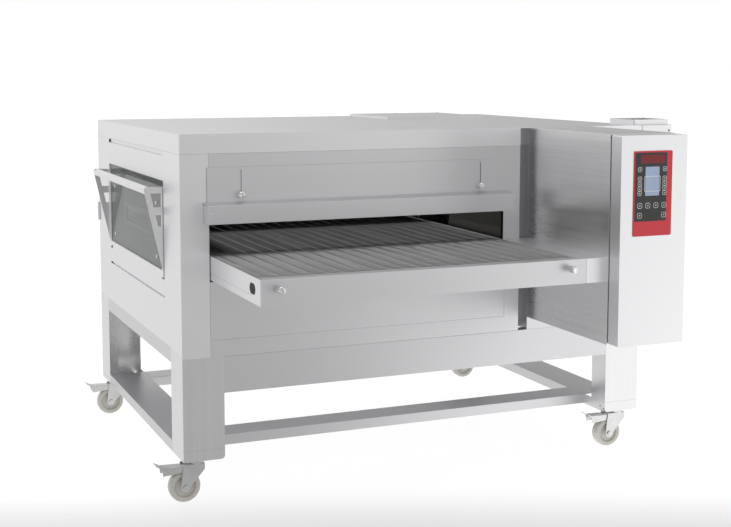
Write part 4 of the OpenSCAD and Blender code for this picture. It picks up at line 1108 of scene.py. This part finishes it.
@dataclass
class Casters:
    """Wheels, forks, plates and brake pedals of the four casters."""

    corners: tuple[str, ...] = ("front_left", "front_right", "rear_left", "rear_right")
    steps: int = 72

    def wheel(self, node: str) -> None:
        """Turns one wheel with its crowned tread, grooved rim, web and bearing."""
        low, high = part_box(node)
        radius, half = (high.z - low.z) / 2, 17 * MILLI
        hub = (high.y - low.y) / 2
        centre = (low + high) / 2
        side = [(5.05 * MILLI, hub), (9.5 * MILLI, hub), (10.5 * MILLI, hub - 1 * MILLI),
                (13.2 * MILLI, hub - 1.4 * MILLI), (14 * MILLI, hub - 2.4 * MILLI),
                (14.6 * MILLI, 9.2 * MILLI), (16 * MILLI, 8 * MILLI), (21 * MILLI, 7.6 * MILLI),
                (27 * MILLI, 7.8 * MILLI), (31 * MILLI, 8.6 * MILLI), (33.5 * MILLI, 12 * MILLI),
                (34.6 * MILLI, half - 1.2 * MILLI), (35.6 * MILLI, half - 0.2 * MILLI),
                (37.5 * MILLI, half), (39.6 * MILLI, half), (40.2 * MILLI, half - 0.9 * MILLI),
                (40.9 * MILLI, half - 0.9 * MILLI), (41.5 * MILLI, half), (45.5 * MILLI, half - 0.4 * MILLI),
                (48.2 * MILLI, half - 2.6 * MILLI), (49.6 * MILLI, half - 6 * MILLI),
                (50 * MILLI, half - 11 * MILLI)]
        scale = radius / (50 * MILLI)
        profile = [(reach * scale, along) for reach, along in side]
        profile += [(reach, -along) for reach, along in reversed(profile)]
        profile.append(profile[0])
        form = lathe(profile, self.steps)
        bmesh.ops.remove_doubles(form, verts=form.verts, dist=WELD_GAP)
        bmesh.ops.recalc_face_normals(form, faces=form.faces)
        moved(form, Matrix.Translation(centre))
        place(form, node + "_moulded", body_of(node), SLOTS[node], SLOT_FINISHES["wheel_nylon"], [node])

    def build(self) -> None:
        """Makes all four casters."""
        for corner in self.corners:
            self.wheel("caster_wheel_" + corner)
            for node in ("caster_fork_" + corner, "brake_pedal_" + corner):
                form = merged_copy(node)
                place(soften(form, 1.0 * MILLI, 0.3 * MILLI), node + "_pressed", body_of(node), SLOTS[node],
                      SLOT_FINISHES["zinc"], [node])
                form.free()
        form = merged_copy("caster_plates")
        place(soften(form, 0.8 * MILLI, 0.5 * MILLI), "caster_plates_pressed", body_of("caster_plates"),
              "zinc", SLOT_FINISHES["zinc"], ["caster_plates"])
        form.free()


@dataclass
class HiddenDrive:
    """What the casing hides: the fan, the sprockets and the chain keep their CAD shapes or get links."""

    kept: tuple[str, ...] = ("circulation_fan", "drive_shaft", "idler_shaft", "motor_sprocket")
    link_pitch: float = 12.7 * MILLI
    link_reach: float = 28.5 * MILLI

    def link(self) -> bmesh.types.BMesh:
        """Makes one chain link: two waisted side plates and two rollers, along Y."""
        plates = []
        for side in (-1, 1):
            plate = rounded_plate(self.link_pitch * 1.45, 8.6 * MILLI, 4.2 * MILLI, 1.1 * MILLI, 4)
            moved(plate, Matrix.Rotation(math.pi / 2, 4, "Z"))
            plates.append(moved(plate, Matrix.Translation((side * 2.2 * MILLI - 0.55 * MILLI, 0, 0))))
        for side in (-1, 1):
            pin = lathe([(0, -2.9 * MILLI), (1.6 * MILLI, -2.9 * MILLI), (1.6 * MILLI, -1.9 * MILLI),
                         (3.1 * MILLI, -1.8 * MILLI), (3.1 * MILLI, 1.8 * MILLI), (1.6 * MILLI, 1.9 * MILLI),
                         (1.6 * MILLI, 2.9 * MILLI), (0, 2.9 * MILLI)], 12)
            moved(pin, Matrix.Translation((0, side * self.link_pitch / 2, 0))
                  @ Matrix.Rotation(math.pi / 2, 4, "Z"))
            plates.append(pin)
        return joined(plates)

    def chain(self) -> None:
        """Carries the links round the two chain sprockets."""
        belt_low, belt_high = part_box("mesh_belt")
        motor_low, motor_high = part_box("motor_sprocket")
        low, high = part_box("drive_chain")
        radius_out = (belt_high.z - belt_low.z) / 2
        first = Vector((0, belt_low.y + radius_out, (belt_low.z + belt_high.z) / 2))
        second = Vector((0, (motor_low.y + motor_high.y) / 2, (motor_low.z + motor_high.z) / 2))
        run = second - first
        around = 2 * run.length + 2 * math.pi * self.link_reach
        count = 2 * round(around / (2 * self.link_pitch))
        centre = (first + second) / 2
        loop = Loop(wire=False)
        piece = loop.run(self.link(), "drive_chain_links", {
            "Length": run.length, "Radius": self.link_reach, "Count": count,
            "Tilt": math.atan2(run.z, run.y),
            "Centre": ((low.x + high.x) / 2, centre.y, centre.z),
            "Finish": SLOT_FINISHES["chain_steel"].material()})
        ride(piece, body_of("drive_chain"), ["drive_chain"])

    def build(self) -> None:
        """Dresses the kept nodes and makes the chain."""
        for node in self.kept:
            dress_node(node)
        self.chain()


def dress_node(node: str) -> None:
    """Gives a CAD node that keeps its shape the finish of its slot."""
    shown = frame["nodes"][node]
    finish = SLOT_FINISHES[SLOTS[node]].material()
    if not shown.material_slots:
        shown.data.materials.append(finish)
    for slot in shown.material_slots:
        slot.material = finish
    LOG.info("%s keeps its shape in %s", node, finish.name)


@dataclass
class SmallParts:
    """Screws of the sheets and the nozzles of the air ducts."""

    screw: float = 3.6 * MILLI
    nozzle_gap: float = 34 * MILLI

    def screws(self) -> None:
        """Puts rows of screws where the sheets are fixed."""
        points: list[tuple[Point, Point]] = []
        low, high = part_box("top_access_plate")
        for x in (low.x + 0.015, (low.x + high.x) / 2, high.x - 0.015):
            for y in (low.y + 0.015, high.y - 0.015):
                points.append(((x, y, high.z), (0, 0, 1)))
        low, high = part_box("right_casing")
        for z in (low.z + 0.05, (low.z + high.z) / 2, high.z - 0.03):
            for y in (low.y + 0.02, (low.y + high.y) / 2, high.y - 0.02):
                points.append(((high.x, y, z), (1, 0, 0)))
        low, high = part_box("rear_panel")
        rear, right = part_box("rear_panel")[1].y, high.x
        for x in (low.x + 0.02, right - 0.04):
            for z in (low.z + 0.05, low.z + 0.2, high.z - 0.03):
                points.append(((x, rear, z), (0, 1, 0)))
        piece = Scatter().make("sheet_screws", screw_head(self.screw, 1.8 * MILLI), points,
                               SLOT_FINISHES["knob_steel"], spin=math.pi)
        ride(piece, "oven")
        for end, way in (("front", -1.0), ("rear", 1.0)):
            low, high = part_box(end + "_shutter")
            face = low.y if way < 0 else high.y
            spots = [((x, face, low.z + 0.032), (0.0, way, 0.0)) for x in (low.x + 0.012, high.x - 0.012)]
            piece = Scatter().make(end + "_visor_screws", screw_head(2.6 * MILLI, 1.4 * MILLI), spots,
                                   SLOT_FINISHES["knob_steel"], spin=math.pi)
            ride(piece, end + "_shutter")

    def nozzles(self) -> None:
        """Puts rows of flared nozzles on the faces of the ducts that look at the belt."""
        points: list[tuple[Point, Point]] = []
        for part in islands(merged_copy("air_fingers")):
            low, high = extent(part)
            part.free()
            lower = high.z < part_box("mesh_belt")[0].z
            z, way = (high.z, 1.0) if lower else (low.z, -1.0)
            count = int((high.x - low.x - 0.06) / self.nozzle_gap)
            for row in (-1, 1):
                for i in range(count):
                    shift = self.nozzle_gap / 2 if row > 0 else 0.0
                    points.append(((low.x + 0.035 + shift + i * self.nozzle_gap,
                                    (low.y + high.y) / 2 + row * 0.028, z), (0.0, 0.0, way)))
        ring = lathe([(4.4 * MILLI, 0.0), (6.6 * MILLI, 0.0), (5.6 * MILLI, -2.2 * MILLI),
                      (5.0 * MILLI, -4 * MILLI), (4.4 * MILLI, -4 * MILLI), (4.4 * MILLI, 0.0)], 10)
        bmesh.ops.remove_doubles(ring, verts=ring.verts, dist=WELD_GAP)
        bmesh.ops.recalc_face_normals(ring, faces=ring.faces)
        piece = Scatter().make("air_nozzles", ring, points, SLOT_FINISHES["chamber_steel"])
        ride(piece, body_of("air_fingers"))

    def build(self) -> None:
        """Makes the screws and the nozzles."""
        self.screws()
        self.nozzles()


# ---------------------------------------------------------------- studio


@dataclass(frozen=True)
class SoftGlow:
    """A soft patch of light in the surroundings."""

    toward: Point
    inner: float
    outer: float
    strength: float


@dataclass(frozen=True)
class Lamp:
    """A soft rectangular lamp."""

    name: str
    at: Point
    aim: Point
    wide: float
    tall: float
    power: float
    spread: float


@dataclass
class Studio:
    """Floor, surroundings, lights and camera."""

    camera_at: Point = (-1.8222, -4.3536, 1.3414)
    turn: float = 22.843
    tip: float = -6.039
    lens: float = 63.108
    shift: float = -0.08
    ambient: float = 0.42
    glows: tuple[SoftGlow, ...] = (
        SoftGlow((0.78, -0.62, 0.05), 14.0, 36.0, 0.66),
        SoftGlow((-0.40, 0.92, 0.02), 18.0, 58.0, 0.62),
        SoftGlow((0.0, 0.0, 1.0), 25.0, 65.0, 0.30),
        SoftGlow((-0.40, -0.91, 0.02), 8.0, 36.0, 0.10),
    )
    lamps: tuple[Lamp, ...] = (
        Lamp("top_lamp", (-0.9, -1.4, 3.6), (0.1, 0.2, 0.6), 3.2, 3.2, 24.0, 180.0),
        Lamp("tunnel_lamp", (-0.1, -0.3, 0.80), (-0.1, -0.3, 0.0), 1.1, 0.5, 0.5, 180.0),
    )
    # Strengths of the floor's painted glow: low and high patches across it, a patch front left and one
    # behind the oven.
    floor_glow_low: float = 0.54
    floor_glow_high: float = 1.32
    floor_glow_left: float = 0.45
    floor_glow_rear: float = 0.90
    # Heading along which the floor's painted shade fades darker towards the camera.
    painted_fade_way: Point = (0.388, 0.922, 0.0)

    def camera(self) -> None:
        """Places the camera."""
        data = bpy.data.cameras.new("camera")
        data.lens, data.sensor_width, data.sensor_fit = self.lens, 36.0, "HORIZONTAL"
        data.shift_y = self.shift
        data.clip_start, data.clip_end = 0.1, 200.0
        made = bpy.data.objects.new("camera", data)
        made.location = self.camera_at
        made.rotation_euler = (math.radians(90 + self.tip), 0.0, math.radians(-self.turn))
        bpy.context.scene.collection.objects.link(made)
        bpy.context.scene.camera = made

    def surroundings(self) -> None:
        """Builds the world: white behind the object, soft patches of light all round."""
        world = bpy.data.worlds.new("studio")
        bpy.context.scene.world = world
        world.use_nodes = True
        tree = Tree(world.node_tree)
        ray = tree.node("ShaderNodeTexCoord").outputs["Generated"]
        total: object = self.ambient
        for glow in self.glows:
            way = Vector(glow.toward).normalized()
            dot = tree.node("ShaderNodeVectorMath", {0: ray, 1: tuple(way)}, operation="DOT_PRODUCT")
            share = tree.span(dot.outputs["Value"], math.cos(math.radians(glow.outer)),
                              math.cos(math.radians(glow.inner)), 0.0, glow.strength, smooth=True)
            total = tree.sum("ADD", total, share)
        light = tree.node("ShaderNodeBackground", {"Color": (1, 1, 1, 1), "Strength": total})
        white = tree.node("ShaderNodeBackground", {"Color": (1, 1, 1, 1), "Strength": 1.0})
        path = tree.node("ShaderNodeLightPath")
        mixed = tree.node("ShaderNodeMixShader", {0: path.outputs["Is Camera Ray"], 1: light.outputs[0],
                                                  2: white.outputs[0]})
        tree.node("ShaderNodeOutputWorld", {0: mixed.outputs[0]})

    def lights(self) -> None:
        """Adds a broad lamp above for soft shade and a faint one over the belt inside the tunnel."""
        for lamp in self.lamps:
            data = bpy.data.lights.new(lamp.name, "AREA")
            data.shape, data.size, data.size_y, data.energy = "RECTANGLE", lamp.wide, lamp.tall, lamp.power
            data.spread = math.radians(lamp.spread)
            made = bpy.data.objects.new(lamp.name, data)
            made.location = lamp.at
            way = Vector(lamp.aim) - Vector(lamp.at)
            made.rotation_euler = way.to_track_quat("-Z", "Y").to_euler()
            made.visible_camera = False
            bpy.context.scene.collection.objects.link(made)

    def floor(self) -> None:
        """Lays a floor that looks pale to the camera, with a painted fade darker towards the camera's side,
        and a painted glow in patches that every other ray meets and the steel mirrors.
        """
        form = bmesh.new()
        bmesh.ops.create_grid(form, x_segments=1, y_segments=1, size=40.0)
        mesh = bpy.data.meshes.new("floor")
        form.to_mesh(mesh)
        form.free()
        made = bpy.data.objects.new("floor", mesh)
        material = bpy.data.materials.new("pale_floor")
        material.use_nodes = True
        tree = Tree(material.node_tree)
        here = tree.node("ShaderNodeTexCoord").outputs["Object"]
        parts = tree.node("ShaderNodeSeparateXYZ", {0: here})
        grit = tree.noise(here, 60.0, 2.0)
        # Painted glow: the floor gives off light in patches, brighter to the right, front left and behind,
        # for the steel to mirror; it is not a lamp.
        side = tree.sum("ADD", parts.outputs[0], tree.sum("MULTIPLY", parts.outputs[1], 0.45))
        painted_glow = tree.span(side, -0.95, 0.35, self.floor_glow_low, self.floor_glow_high, smooth=True)
        left = tree.sum("MULTIPLY",
                        tree.span(parts.outputs[0], -0.7, -1.8, 0.0, self.floor_glow_left, smooth=True),
                        tree.span(parts.outputs[1], -2.0, -3.6, 0.0, 1.0, smooth=True))
        painted_glow = tree.sum("ADD", painted_glow, left)
        behind = tree.span(parts.outputs[1], -0.9, -0.2, smooth=True)
        painted_glow = tree.sum("ADD", tree.sum("MULTIPLY", painted_glow, tree.sum("SUBTRACT", 1.0, behind)),
                       tree.sum("MULTIPLY", behind, self.floor_glow_rear))
        # Painted shade: the floor the camera sees glows less towards the camera's side, so it looks darker
        # there.
        ahead = tree.node("ShaderNodeVectorMath", {0: here, 1: self.painted_fade_way}, operation="DOT_PRODUCT")
        painted_fade = tree.span(ahead.outputs["Value"], -1.16, -0.66, 0.62, 0.90, smooth=True)
        surface = tree.node("ShaderNodeBsdfPrincipled", {"Base Color": (0.17, 0.17, 0.17, 1),
                                                         "Emission Color": (1, 1, 1, 1),
                                                         "Emission Strength": painted_fade})
        tree.tree.links.new(tree.span(grit, 0.3, 0.7, 0.55, 0.7), surface.inputs["Roughness"])
        glow = tree.node("ShaderNodeEmission", {"Color": (1, 1, 1, 1), "Strength": painted_glow})
        # The camera sees the pale floor with its painted fade; every other ray meets the painted glow.
        seen = tree.node("ShaderNodeLightPath").outputs["Is Camera Ray"]
        both = tree.node("ShaderNodeMixShader", {0: seen, 1: glow.outputs[0], 2: surface.outputs[0]})
        tree.node("ShaderNodeOutputMaterial", {0: both.outputs[0]})
        mesh.materials.append(material)
        bpy.context.scene.collection.objects.link(made)

    def build(self) -> None:
        """Sets the whole stage."""
        self.camera()
        self.surroundings()
        self.lights()
        self.floor()
        bpy.context.scene.view_settings.view_transform = "Standard"


def main() -> None:
    """Builds every sub-assembly in order."""
    logging.basicConfig(level=logging.INFO, format="%(name)s: %(message)s")
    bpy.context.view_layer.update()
    for part in (SheetWork(), WireBelt(), DoorGlass(), Knobs(), Keypad(), Casters(), HiddenDrive(),
                 SmallParts(), Studio()):
        LOG.info("building %s", type(part).__name__)
        part.build()


if __name__ == "__main__":
    main()
